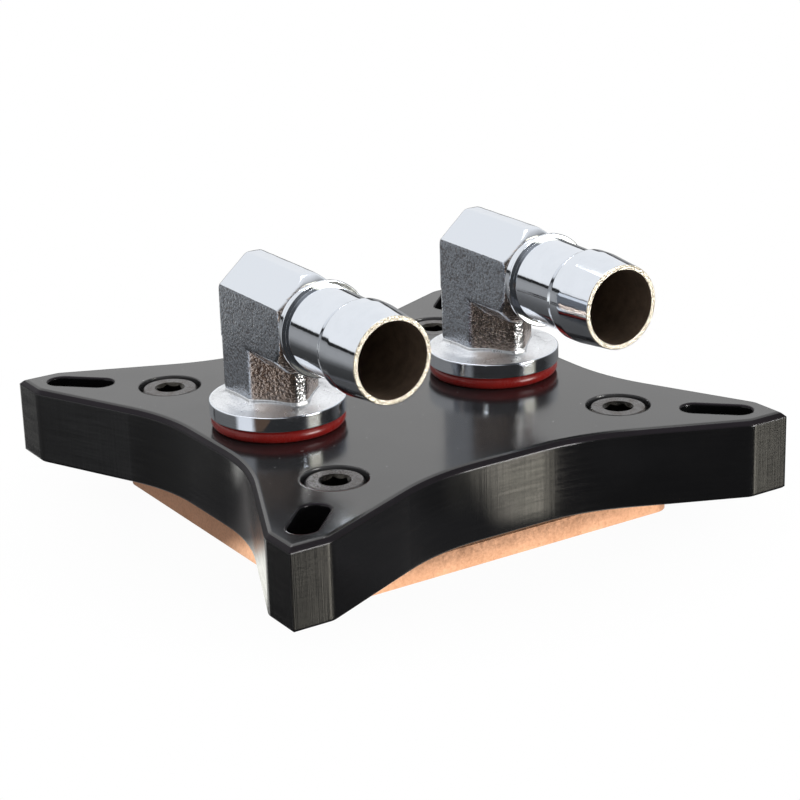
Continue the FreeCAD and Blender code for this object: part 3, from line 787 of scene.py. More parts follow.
@dataclass(frozen=True)
class Clouded:
    """A finish that clouds from one tint to another under a film, with a low relief.

    The share of the second tint is the clouds' noise carried by one range, and the change
    of the roughness is the film's noise carried by another. The relief's height is the sum
    of the two noises, each by its weight, and its depth is the relief's last number.
    """

    name: str
    tint: Colour
    second: Colour
    clouds: Grain
    tinting: Range
    film: Grain
    roughness: float
    dulling: Range
    relief: Triple
    metallic: float = 1.0
    ior: float = 1.5

    def material(self) -> Material:
        """Node tree of the finish.

        Returns:
            The finished material.
        """
        recipe = Recipe(self.name)
        clouds = recipe.noise(self.clouds)
        film = recipe.noise(self.film)
        clouds_weight, film_weight, depth = self.relief
        height = recipe.plus(
            recipe.times(clouds, clouds_weight), recipe.times(film, film_weight)
        )
        return recipe.finish(
            recipe.blend(recipe.span(clouds, *self.tinting), self.tint, self.second),
            recipe.plus(recipe.span(film, *self.dulling), self.roughness),
            recipe.bump(height, depth),
            self.metallic,
            self.ior,
        )


@dataclass(frozen=True)
class FrostedChrome(Clouded):
    """Chrome plate over the flange's rough cast top: pale, matt and grainy."""

    name: str = "frosted_chrome"
    tint: Colour = (0.90, 0.92, 0.95, 1.0)
    second: Colour = (0.50, 0.51, 0.53, 1.0)
    clouds: Grain = Grain(3.2, 3, 0.7)
    tinting: Range = (0.3, 0.5, 0.6, 0.0)
    film: Grain = Grain(0.5, 3, 0.6)
    roughness: float = 0.34
    dulling: Range = (0.3, 0.7, -0.1, 0.1)
    relief: Triple = (0.5, 1.0, 0.11)


@dataclass(frozen=True)
class BareBrass(Clouded):
    """Cut brass at the mouth, where the plate ends: bright, grainy and slightly yellow."""

    name: str = "cut_brass"
    tint: Colour = (0.88, 0.82, 0.70, 1.0)
    second: Colour = (0.40, 0.32, 0.22, 1.0)
    clouds: Grain = Grain(3.6, 3, 0.7)
    tinting: Range = (0.45, 0.65, 0.0, 1.0)
    film: Grain = Grain(3.6, 3, 0.7)
    roughness: float = 0.22
    dulling: Range = (0.3, 0.7, -0.08, 0.12)
    relief: Triple = (0.0, 1.0, 0.12)


@dataclass(frozen=True)
class DarkBore(Clouded):
    """Unplated inside of the passages: drilled brass gone dark brown."""

    name: str = "dark_bore"
    tint: Colour = (0.20, 0.145, 0.105, 1.0)
    second: Colour = (0.13, 0.095, 0.07, 1.0)
    clouds: Grain = Grain(0.5, 4, 0.6)
    tinting: Range = (0.35, 0.7, 0.0, 1.0)
    film: Grain = Grain(3.0, 3, 0.6, (0.03, 1, 0.03))
    roughness: float = 0.45
    dulling: Range = (0.3, 0.7, -0.08, 0.1)
    relief: Triple = (0.0, 1.0, 0.02)
    metallic: float = 0.5


@dataclass(frozen=True)
class Silicone(Clouded):
    """Moulded red silicone: glossy, a little cloudy, with dust on it."""

    name: str = "red_silicone"
    tint: Colour = (0.235, 0.013, 0.010, 1.0)
    second: Colour = (0.18, 0.008, 0.007, 1.0)
    clouds: Grain = Grain(0.7, 3)
    tinting: Range = (0.35, 0.7, 0.0, 0.6)
    film: Grain = Grain(6.0, 3, 0.7)
    roughness: float = 0.2
    dulling: Range = (0.45, 0.75, 0.0, 0.25)
    relief: Triple = (1.0, 0.0, 0.01)
    metallic: float = 0.0
    ior: float = 1.43


@dataclass(frozen=True)
class Rubber(Clouded):
    """Black nitrile of the hidden main seal, with a pale bloom."""

    name: str = "seal_rubber"
    tint: Colour = (0.022, 0.022, 0.022, 1.0)
    second: Colour = (0.05, 0.05, 0.05, 1.0)
    clouds: Grain = Grain(2.0, 4, 0.6)
    tinting: Range = (0.4, 0.8, 0.0, 0.4)
    film: Grain = Grain(2.0, 4, 0.6)
    roughness: float = 0.55
    dulling: Range = (0.3, 0.7, -0.06, 0.1)
    relief: Triple = (0.0, 1.0, 0.01)
    metallic: float = 0.0


@dataclass(frozen=True)
class ScrewSteel(Clouded):
    """Satin steel of the cap screws, with turning marks and a dull film."""

    name: str = "screw_steel"
    tint: Colour = (0.150, 0.146, 0.148, 1.0)
    second: Colour = (0.090, 0.078, 0.072, 1.0)
    clouds: Grain = Grain(0.9, 4, 0.6)
    tinting: Range = (0.42, 0.66, 0.0, 1.0)
    film: Grain = Grain(6.0, 3, 0.6)
    roughness: float = 0.27
    dulling: Range = (0.3, 0.7, -0.06, 0.1)
    relief: Triple = (2.0, 1.0, 0.02)


@dataclass(frozen=True)
class SocketSteel(ScrewSteel):
    """The same steel inside the screws' sockets, darker: painted shade in the recess."""

    name: str = "socket_steel"
    tint: Colour = (0.055, 0.052, 0.046, 1.0)
    second: Colour = (0.02, 0.018, 0.016, 1.0)


# ---------------------------------------------------------------- pieces


def dress(node: str, material: Material) -> None:
    """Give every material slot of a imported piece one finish.

    Args:
        node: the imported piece.
        material: the finish.
    """
    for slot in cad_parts[node].material_slots:
        slot.material = material
    LOG.info("%s: dressed in %s", node, material.name)


@dataclass
class Block:
    """Copper base and acetal cover with the seal between them, kept as they were packed."""

    acetal: Acetal = field(default_factory=Acetal)
    copper: Copper = field(default_factory=Copper)
    rubber: Rubber = field(default_factory=Rubber)

    def build(self) -> None:
        """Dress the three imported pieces."""
        dress("top_cover", self.acetal.material())
        dress("base_plate", self.copper.material())
        dress("main_seal", self.rubber.material())


@dataclass
class Screws:
    """The four hexagon socket cap screws that clamp the cover to the base."""

    head_radius: float = 4.65
    head_height: float = 5.15
    head_chamfer: float = 0.36
    foot_chamfer: float = 0.1
    rise: float = 0.15
    knurls: int = 60
    knurl_depth: float = 0.05
    knurl_end: float = 0.8
    band_start: float = 0.6
    band_end: float = 0.42
    shank_radius: float = 2.5
    tip_chamfer: float = 0.5
    socket_flats: float = 4.0
    socket_corner: float = 2.26
    socket_mouth: float = 2.52
    socket_cone: float = 1.1
    socket_depth: float = 2.5
    drill_radius: float = 1.6
    drill_start: float = 0.1
    drill_end: float = 0.6
    guard: float = 0.05
    top_guard: float = 0.06
    segments: int = 360
    steel: ScrewSteel = field(default_factory=ScrewSteel)
    shaded_socket: SocketSteel = field(default_factory=SocketSteel)

    def hexagon(self, angle: np.ndarray) -> np.ndarray:
        """Distance to a side: half the flats over the cosine of the angle from the side."""
        off = np.mod(angle, np.pi / 3) - np.pi / 6
        return np.minimum(self.socket_flats / 2 / np.cos(off), self.socket_corner)

    def surface(self, tip: float) -> Surface:
        """Shank, head and socket as rings of points from the tip to the socket's floor.

        A point is its ring's radius at the angle, and its ring's height. The head's flank
        swings by a cosine of the angle times the count of knurls. The socket's mouth is a
        cone that ends on the hexagon, so its height falls with the hexagon's radius. A ring
        stands close to each edge on both sides of it, which keeps the edge crisp.

        Args:
            tip: height of the shank's end from the head's top.

        Returns:
            The closed surface, with its origin at the centre of the head's top.
        """
        angle = np.linspace(0, 2 * np.pi, self.segments, endpoint=False)
        flat = np.zeros(self.segments)
        hexagon = self.hexagon(angle)
        knurl = self.head_radius - self.knurl_depth * (1 + np.cos(self.knurls * angle)) / 2
        rim = flat + self.head_radius - self.head_chamfer
        mouth = flat + self.socket_mouth
        cone = -self.socket_cone * (self.socket_mouth - hexagon)
        seat, depth = -self.head_height, -self.socket_depth
        shank, end, guard = flat + self.shank_radius, tip + self.tip_chamfer, self.guard
        rings = [
            (flat, tip),
            (shank - self.tip_chamfer, tip),
            (shank, end),
            (shank, end + guard),
            (shank, seat - guard),
            (shank, seat),
            (shank + guard, seat),
            (knurl - self.foot_chamfer, seat),
            (knurl, seat + self.foot_chamfer),
            (knurl, seat + 2 * self.foot_chamfer),
            (knurl, -self.knurl_end),
            (flat + self.head_radius, -self.band_start),
            (flat + self.head_radius, -self.band_end),
            *(
                (rim + share * self.head_chamfer, -share * self.head_chamfer)
                for share in (1.0, 0.9, 0.1, 0.0)
            ),
            (rim - self.top_guard, 0.0),
            (mouth + self.top_guard, 0.0),
            (mouth, 0.0),
            (0.9 * mouth + 0.1 * hexagon, 0.1 * cone),
            (0.1 * mouth + 0.9 * hexagon, 0.9 * cone),
            (hexagon, cone),
            (hexagon, cone - guard),
            (hexagon, depth + guard),
            (hexagon, depth),
            (hexagon - guard, depth),
            (flat + self.drill_radius, depth - self.drill_start),
            (flat, depth - self.drill_end),
        ]
        way = np.stack([np.cos(angle), np.sin(angle), flat], axis=-1)
        up = np.array([0, 0, 1])
        grid = np.stack(
            [radius[:, None] * way + (flat + height)[:, None] * up for radius, height in rings]
        )
        screw = Surface.from_grid(grid, False, True)
        x, y, z = screw.face_means(screw.points).T
        # The socket's faces take the darker steel: painted shade in the recess.
        screw.finish[(np.hypot(x, y) < self.socket_mouth) & (z > seat) & (z < 0)] = 1
        return screw

    def build(self) -> None:
        """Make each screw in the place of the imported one, a little turned from its neighbours."""
        materials = [self.steel.material(), self.shaded_socket.material()]
        for corner in Corner:
            node = f"screw_{corner.name.lower()}"
            low, high = box_of(node)
            top = high[2] + self.rise
            screw = self.surface(low[2] - top)
            turn = math.radians(corner.value)
            c, s = math.cos(turn), math.sin(turn)
            screw.points = screw.points @ np.array([[c, s, 0], [-s, c, 0], [0, 0, 1]])
            middle = (low + high) / 2
            piece = screw.moved(middle[0], middle[1], top).make(f"{node}_steel", materials)
            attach(piece, "root")
            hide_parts(node)


@dataclass
class Elbow:
    """Forged and turned hose elbow. Its origin is where the leg's axis meets the arm's."""

    # forged body
    half_width: float = 6.5
    back: float = 6.0
    leg_shoulder: float = 2.4
    leg_front: float = 7.8
    leg_ridge_half: float = 1.05
    arm_front: float = 13.2
    arm_upper_edge: float = 3.45
    arm_lower_edge: float = 5.3
    arm_ridge: float = 7.9
    arm_ridge_half: float = 1.3
    arm_sole: float = 7.7
    cone_start: float = 6.7
    passage: float = 4.8
    back_rounding: float = 0.9
    shoulder_rounding: float = 1.6
    ridge_rounding: float = 1.2
    edge_power: float = 64.0
    leg_power: float = 26.0
    back_power: float = 20.0
    overlap: float = 0.02
    swell: float = 0.0035
    waves: tuple[tuple[float, float, float, float], ...] = (
        (0.9, 0.5, 0.3, 0.4), (-0.4, 1.1, 0.6, 1.9), (0.7, -0.6, 1.0, 3.1),
        (1.9, 0.8, -1.2, 0.9), (-1.3, 1.7, 1.5, 2.3), (1.1, -2.1, 1.4, 5.0),
    )
    # foot
    foot_top: float = 14.95
    boss_height: float = 0.9
    boss_start: float = 0.6
    boss_end: float = 1.6
    boss_rounding: float = 0.5
    slope_height: float = 0.18
    slope_end: float = 3.9
    slope_rounding: float = 6.0
    rim_width: float = 0.5
    rim_blend: float = 1.5
    rim_facing: float = 0.25
    rim_rounding: float = 0.22
    flange_height: float = 2.5
    flange_radius: float = 11.05
    shoulder_radius: float = 8.1
    shoulder_height: float = 1.5
    stub_radius: float = 6.5
    stub_end: float = 25.9
    stub_chamfer: float = 0.8
    # fillet between leg and foot
    fillet: float = 1.3
    fillet_rise: float = 0.9
    fillet_swing: float = 0.25
    fillet_stretch: float = 0.4
    fillet_inside: float = 0.5
    fillet_under: float = 0.04
    fillet_lift: float = 0.05
    # barb
    neck_radius: float = 6.6
    neck_end: float = 15.4
    neck_fillet: float = 0.25
    collar_radius: float = 7.7
    collar_end: float = 16.0
    collar_rounding: float = 0.16
    root_radius: float = 7.0
    root_crease: float = 0.03
    root_waist: float = 6.74
    root_end: float = 24.85
    flare_fillet: float = 0.4
    land_start: float = 26.35
    land_start_rounding: float = 0.8
    barb_radius: float = 7.4
    land_end: float = 28.5
    land_end_rounding: float = 6.0
    mouth: float = 35.0
    mouth_radius: float = 6.75
    mouth_rounding: float = 0.16
    mouth_facing: float = 0.09
    bore_radius: float = 5.95
    bore_end: float = 17.4
    bore_cone: float = 1.15
    # plain edges and creases
    rounding: float = 0.1
    crease: float = 0.05
    # fineness
    cube_steps: int = 92
    ring_steps: int = 30
    tube_steps: int = 12
    fillet_steps: int = 10
    corner_steps: int = 8
    outline_steps: int = 260
    segments: int = 240

    @property
    def bottom(self) -> float:
        """How far down the forged body goes, a little way into the foot."""
        return self.foot_top + self.overlap

    def convex(self, planes: list[tuple[np.ndarray, float]], power: float) -> np.ndarray:
        """Blend of planes into one closeness: the sum of each share to a power, rooted.

        Args:
            planes: for each plane, the part of every direction that points at it, and its
                distance from the origin.
            power: how sharp the edge between two planes is.

        Returns:
            One over the distance to the blended surface, for every direction.
        """
        total = sum(np.maximum(part / distance, 0.0) ** power for part, distance in planes)
        return total ** (1.0 / power)

    def facet(
        self, x: np.ndarray, out: np.ndarray, edge: float, ridge: float, ridge_half: float
    ) -> tuple[np.ndarray, float]:
        """Sloping plane from a side's edge up to the side of a ridge.

        It passes through (half width, edge) and (ridge half, ridge), and its normal is the
        rise and the run between the two, over the length of both.

        Args:
            x: each direction's part to the side.
            out: each direction's part towards the ridge.
            edge: how far out the side's edge is.
            ridge: how far out the ridge is.
            ridge_half: half of the ridge's width.

        Returns:
            The part of every direction that points at the plane, and its distance.
        """
        run, rise = self.half_width - ridge_half, ridge - edge
        size = math.hypot(run, rise)
        return (rise * x + run * out) / size, (rise * self.half_width + run * edge) / size

    def reach(self, way: np.ndarray) -> np.ndarray:
        """Distance from the origin to the forged skin.

        The leg and the arm are each the inside of a set of planes, blended so that their
        edges are soft, and the skin is the further of the two.

        Args:
            way: unit directions.

        Returns:
            The distance along each direction.
        """
        x, y, z = np.abs(way[..., 0]), way[..., 1], way[..., 2]
        leg = [
            (x, self.half_width),
            (y, self.back),
            self.facet(x, -y, self.leg_shoulder, self.leg_front, self.leg_ridge_half),
            (-y, self.leg_front),
            (-z, self.bottom),
        ]
        leg_reach = 1.0 / np.maximum(self.convex(leg, self.leg_power), TINY)
        roof = self.facet(x, z, self.arm_upper_edge, self.arm_ridge, self.arm_ridge_half)
        crown = self.convex([roof, (z, self.arm_ridge)], self.edge_power)
        crown_back = self.convex([(crown, 1.0), (y, self.back)], self.back_power)
        arm = [
            (crown_back, 1.0),
            (x, self.half_width),
            ((x - z) / math.sqrt(2), (self.half_width + self.arm_lower_edge) / math.sqrt(2)),
            (-z, self.arm_sole),
            (-y, self.arm_front),
            (np.where(y < 0, np.hypot(x, z) - y, 0.0), self.cone_start + self.arm_front),
        ]
        arm_reach = 1.0 / self.convex(arm, self.edge_power)
        return np.maximum(np.where(z <= 0.0, leg_reach, 0.0), arm_reach)

    def waviness(self, points: np.ndarray) -> np.ndarray:
        """Share by which the forged skin swells and sinks: the mean of six sines in space."""
        waves = np.array(self.waves)
        return np.sin(points @ waves[:, :3].T + waves[:, 3]).mean(axis=-1)

    def skin(
        self, tangent: np.ndarray, main: Triple, first: Triple, second: Triple
    ) -> np.ndarray:
        """Points of the skin for places on one face of a cube about the origin.

        A place's direction is the face's middle plus a tangent along each of its sides,
        made a unit long. The point is the direction times its reach and its swelling.

        Args:
            tangent: pairs of tangents.
            main: direction of the face's middle.
            first: direction of the first tangent.
            second: direction of the second tangent.

        Returns:
            A point for each pair.
        """
        way = np.array(main, dtype=float) + tangent @ np.array([first, second], dtype=float)
        way /= np.linalg.norm(way, axis=-1, keepdims=True)
        points = way * self.reach(way)[..., None]
        return points * (1 + self.swell * (self.waviness(points)[..., None] - 1))

    def forged_body(self) -> Surface:
        """Skin of leg and arm on a cube's six faces, with a mitred passage through it.

        Four faces are grids of two equal angles. The front and the bottom are rings that go
        from the passage's circle to the face's square edge. The passage is that circle
        carried along the arm to the plane where height equals depth, and down the leg.

        Returns:
            The closed surface. The passage counts as finish 1.
        """
        tangent = np.tan(np.linspace(-np.pi / 4, np.pi / 4, self.cube_steps + 1))
        plain = np.stack(np.meshgrid(tangent, tangent, indexing="ij"), axis=-1)
        whole = [
            ((0, 1, 0), (1, 0, 0), (0, 0, 1)),
            ((0, 0, 1), (1, 0, 0), (0, 1, 0)),
            ((1, 0, 0), (0, 1, 0), (0, 0, 1)),
            ((-1, 0, 0), (0, 1, 0), (0, 0, 1)),
        ]
        parts = [Surface.from_grid(self.skin(plain, *face), False, False) for face in whole]
        run, one = tangent[:-1], np.ones(self.cube_steps)
        sides = [(run, -one), (one, run), (-run, one), (-one, -run)]
        edge = np.concatenate([np.stack(side, axis=1) for side in sides])
        around = edge / np.linalg.norm(edge, axis=1, keepdims=True)
        circle = around * self.passage
        share = np.linspace(0, 1, self.ring_steps + 1)[:, None, None]
        pierced = [((0, -1, 0), (0, 0, 1), self.arm_front), ((0, 0, -1), (0, 1, 0), self.bottom)]
        for main, second, depth in pierced:
            ring = (1 - share) * around * self.passage / depth + share * edge
            points = self.skin(ring, main, (1, 0, 0), second)
            points[0] = circle @ np.array([(1, 0, 0), second]) + depth * np.array(main)
            parts.append(Surface.from_grid(points, False, True))
        x, y = circle.T
        along = np.linspace(0, 1, self.tube_steps + 1)[:, None]
        in_arm = (x, -self.arm_front + along * (y + self.arm_front), y)
        in_leg = (x, y, y + along * (-self.bottom - y))
        arm, leg = (np.stack(np.broadcast_arrays(*part), axis=-1) for part in (in_arm, in_leg))
        tube = Surface.from_grid(np.concatenate([arm, leg[1:]]), False, True)
        tube.finish[:] = 1
        return parts[0].joined(*parts[1:], tube)

    def barb(self) -> Surface:
        """Neck, collar, root, flare, land, taper and mouth, turned round the arm, with the bore.

        Returns:
            The closed surface. The bore counts as finish 1 and the mouth's face as 2.
        """
        start = self.arm_front - self.overlap
        profile = [
            (start, self.neck_radius, self.crease),
            (self.neck_end, self.neck_radius, self.neck_fillet),
            (self.neck_end, self.collar_radius, self.collar_rounding),
            (self.collar_end, self.collar_radius, self.collar_rounding),
            (self.collar_end, self.root_radius, self.root_crease),
            (self.root_end, self.root_waist, self.flare_fillet),
            (self.land_start, self.barb_radius, self.land_start_rounding),
            (self.land_end, self.barb_radius, self.land_end_rounding),
            (self.mouth, self.mouth_radius, self.mouth_rounding),
            (self.mouth, self.bore_radius, self.rounding),
            (self.bore_end, self.bore_radius, self.rounding),
            (self.bore_end - self.bore_cone, self.passage, self.rounding),
            (start, self.passage, self.overlap),
        ]
        ring = spin(round_profile(profile), Axis.FORWARD, self.segments)
        x, y, z = ring.points.T
        bored = ring.face_means(np.hypot(x, z)) < self.bore_radius + self.overlap
        faced = ring.face_means(-y) > self.mouth - self.mouth_facing
        ring.finish[bored] = 1
        ring.finish[faced & ~bored] = 2
        return ring

    def foot(self) -> Surface:
        """Flange, shoulder and stub, turned round the leg, with the passage and the fillet.

        Returns:
            The closed surfaces. The passage counts as finish 1, and the flange's top with
            the fillet as 2.
        """
        top = -self.foot_top
        under = top - self.flange_height
        step = under - self.shoulder_height
        profile = [
            (top + self.overlap, self.passage, self.overlap),
            (top + self.boss_height, self.passage + self.boss_start, self.rounding),
            (top + self.boss_height, self.passage + self.boss_end, self.boss_rounding),
            (top + self.slope_height, self.passage + self.slope_end, self.slope_rounding),
            (top, self.flange_radius - self.rim_width, self.rim_blend),
            (top, self.flange_radius, self.rim_rounding),
            (under, self.flange_radius, self.rim_rounding),
            (under, self.shoulder_radius, self.crease),
            (step, self.shoulder_radius, self.rounding),
            (step, self.stub_radius, self.rounding),
            (-self.stub_end + self.stub_chamfer, self.stub_radius, self.rounding),
            (-self.stub_end, self.stub_radius - self.stub_chamfer, self.rounding),
            (-self.stub_end, self.passage, self.crease),
        ]
        ring = spin(round_profile(profile), Axis.UP, self.segments)
        x, y, z = ring.points.T
        radius = ring.face_means(np.hypot(x, y))
        above = ring.face_means(z) > top - self.overlap / 2
        ring.finish[above & (radius < self.flange_radius - self.rim_facing)] = 2
        ring.finish[radius < self.passage + self.overlap] = 1
        skirt = self.skirt()
        skirt.finish[:] = 2
        return ring.joined(skirt)

    def skirt(self) -> Surface:
        """Fillet round the leg's foot: a hollow quarter circle carried along the leg's outline.

        Its width swings about the set one by a sum of sines of the place, as a forged
        fillet's does, and its toe runs out thin over the flange.

        Returns:
            The surface, closed along the outline and across it.
        """
        half = [
            (self.half_width, self.back, self.back_rounding),
            (self.half_width, -self.leg_shoulder, self.shoulder_rounding),
            (self.leg_ridge_half, -self.leg_front, self.ridge_rounding),
        ]
        corners = [(-x, y, rounding) for x, y, rounding in half] + half[::-1]
        loop, run = run_along(round_profile(corners, self.corner_steps))
        even = np.linspace(0, run[-1], self.outline_steps, endpoint=False)
        outline = np.stack([np.interp(even, run, part) for part in loop.T], axis=1)
        ahead = np.roll(outline, -2, axis=0) - np.roll(outline, 2, axis=0)
        outward = np.stack([-ahead[:, 1], ahead[:, 0]], axis=1)
        outward /= np.linalg.norm(outward, axis=1, keepdims=True)
        outward *= np.sign((outward * outline).sum(1, keepdims=True))
        flat = np.concatenate([outline, np.zeros((len(outline), 1))], axis=1)
        width = self.fillet * (1 + self.fillet_swing * self.waviness(self.fillet_stretch * flat))
        turn = np.linspace(0, np.pi / 2, self.fillet_steps + 1)
        out = np.concatenate([1 - np.cos(turn), [-self.fillet_inside] * 2])
        rise = self.fillet_rise
        lift = np.concatenate([rise * (1 - np.sin(turn)), [-self.fillet_under, rise]])
        spread = outline[None] + outward[None] * out[:, None, None] * width[None, :, None]
        height = lift[:, None] * width[None, :] - self.foot_top + self.fillet_lift
        return Surface.from_grid(np.concatenate([spread, height[..., None]], axis=-1), True, True)

    def build(self, side: Side, finishes: list[Material]) -> None:
        """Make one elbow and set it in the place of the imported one.

        Args:
            side: which port it stands on.
            finishes: forged chrome, barb chrome, flange chrome, frosted chrome, dark bore
                and cut brass.
        """
        forged, turned, faced, frosted, bore, brass = finishes
        node = f"elbow_{side.name.lower()}"
        low, high = box_of(node)
        place = ((low[0] + high[0]) / 2, 0, low[2] + self.stub_end)
        body = self.forged_body().moved(*place).make(f"{node}_body", [forged, bore])
        barb = self.barb().moved(*place).make(f"{node}_barb", [turned, bore, brass])
        foot = self.foot().moved(*place).make(f"{node}_foot", [faced, bore, frosted])
        for piece in (body, barb, foot):
            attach(piece, "root")
            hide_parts(node)


@dataclass
class Fittings:
    """Both elbows and the red rings that seal them to the cover."""

    elbow: Elbow = field(default_factory=Elbow)
    silicone: Silicone = field(default_factory=Silicone)

    def build(self) -> None:
        """Make the elbows and dress the rings."""
        finishes = [
            ForgedChrome().material(),
            Chrome().material(),
            Chrome("faced_chrome", 0.0035, roughness=0.07).material(),
            FrostedChrome().material(),
            DarkBore().material(),
            BareBrass().material(),
        ]
        ring = self.silicone.material()
        for side in Side:
            self.elbow.build(side, finishes)
            dress(f"port_ring_{side.name.lower()}", ring)


# ---------------------------------------------------------------- studio


class Zone(Enum):
    """Brightness of the surroundings by elevation in degrees, as metal sees them."""

    BEHIND = (
        (-90, 0.04), (-36, 0.04), (-24, 0.06), (-19.5, 0.14), (-15, 0.28), (-10, 0.36),
        (-1, 0.36), (3.5, 0.28), (4.2, 0.02), (8.6, 0.02), (9.4, 0.9), (13, 1.0), (90, 1.0),
    )
    BEFORE = (
        (-90, 0.03), (-30, 0.04), (-8, 0.05), (0, 0.05), (26, 0.10), (45, 0.5), (60, 0.9),
        (90, 1.0),
    )


@dataclass(frozen=True)
class Patch:
    """Soft upright patch of the surroundings, as metal sees it. Angles in degrees."""

    azimuth: float
    half_width: float
    low: float
    high: float
    colour: Colour


@dataclass(frozen=True)
class Card:
    """Glowing patch painted flat on the floor, as a gloss sees it: painted light. Degrees and
    metres.
    """

    azimuth: float
    half_width: float
    near: float
    far: float
    colour: Colour


@dataclass(frozen=True)
class Lamp:
    """Soft rectangular lamp at a place, turned to a target. Metres and watts."""

    name: str
    place: Triple
    target: Triple
    size: tuple[float, float]
    power: float

    def hang(self) -> None:
        """Make the lamp and put it in its place."""
        data = bpy.data.lights.new(self.name, "AREA")
        data.shape = "RECTANGLE"
        data.size, data.size_y = self.size
        data.energy = self.power
        lamp = bpy.data.objects.new(self.name, data)
        lamp.location = self.place
        way = Vector(self.target) - Vector(self.place)
        lamp.rotation_euler = way.to_track_quat("-Z", "Y").to_euler()
        bpy.context.scene.collection.objects.link(lamp)


def lift_share(degrees: float) -> float:
    """An elevation as a share of the way from straight down to straight up."""
    return (degrees + 90) / 180


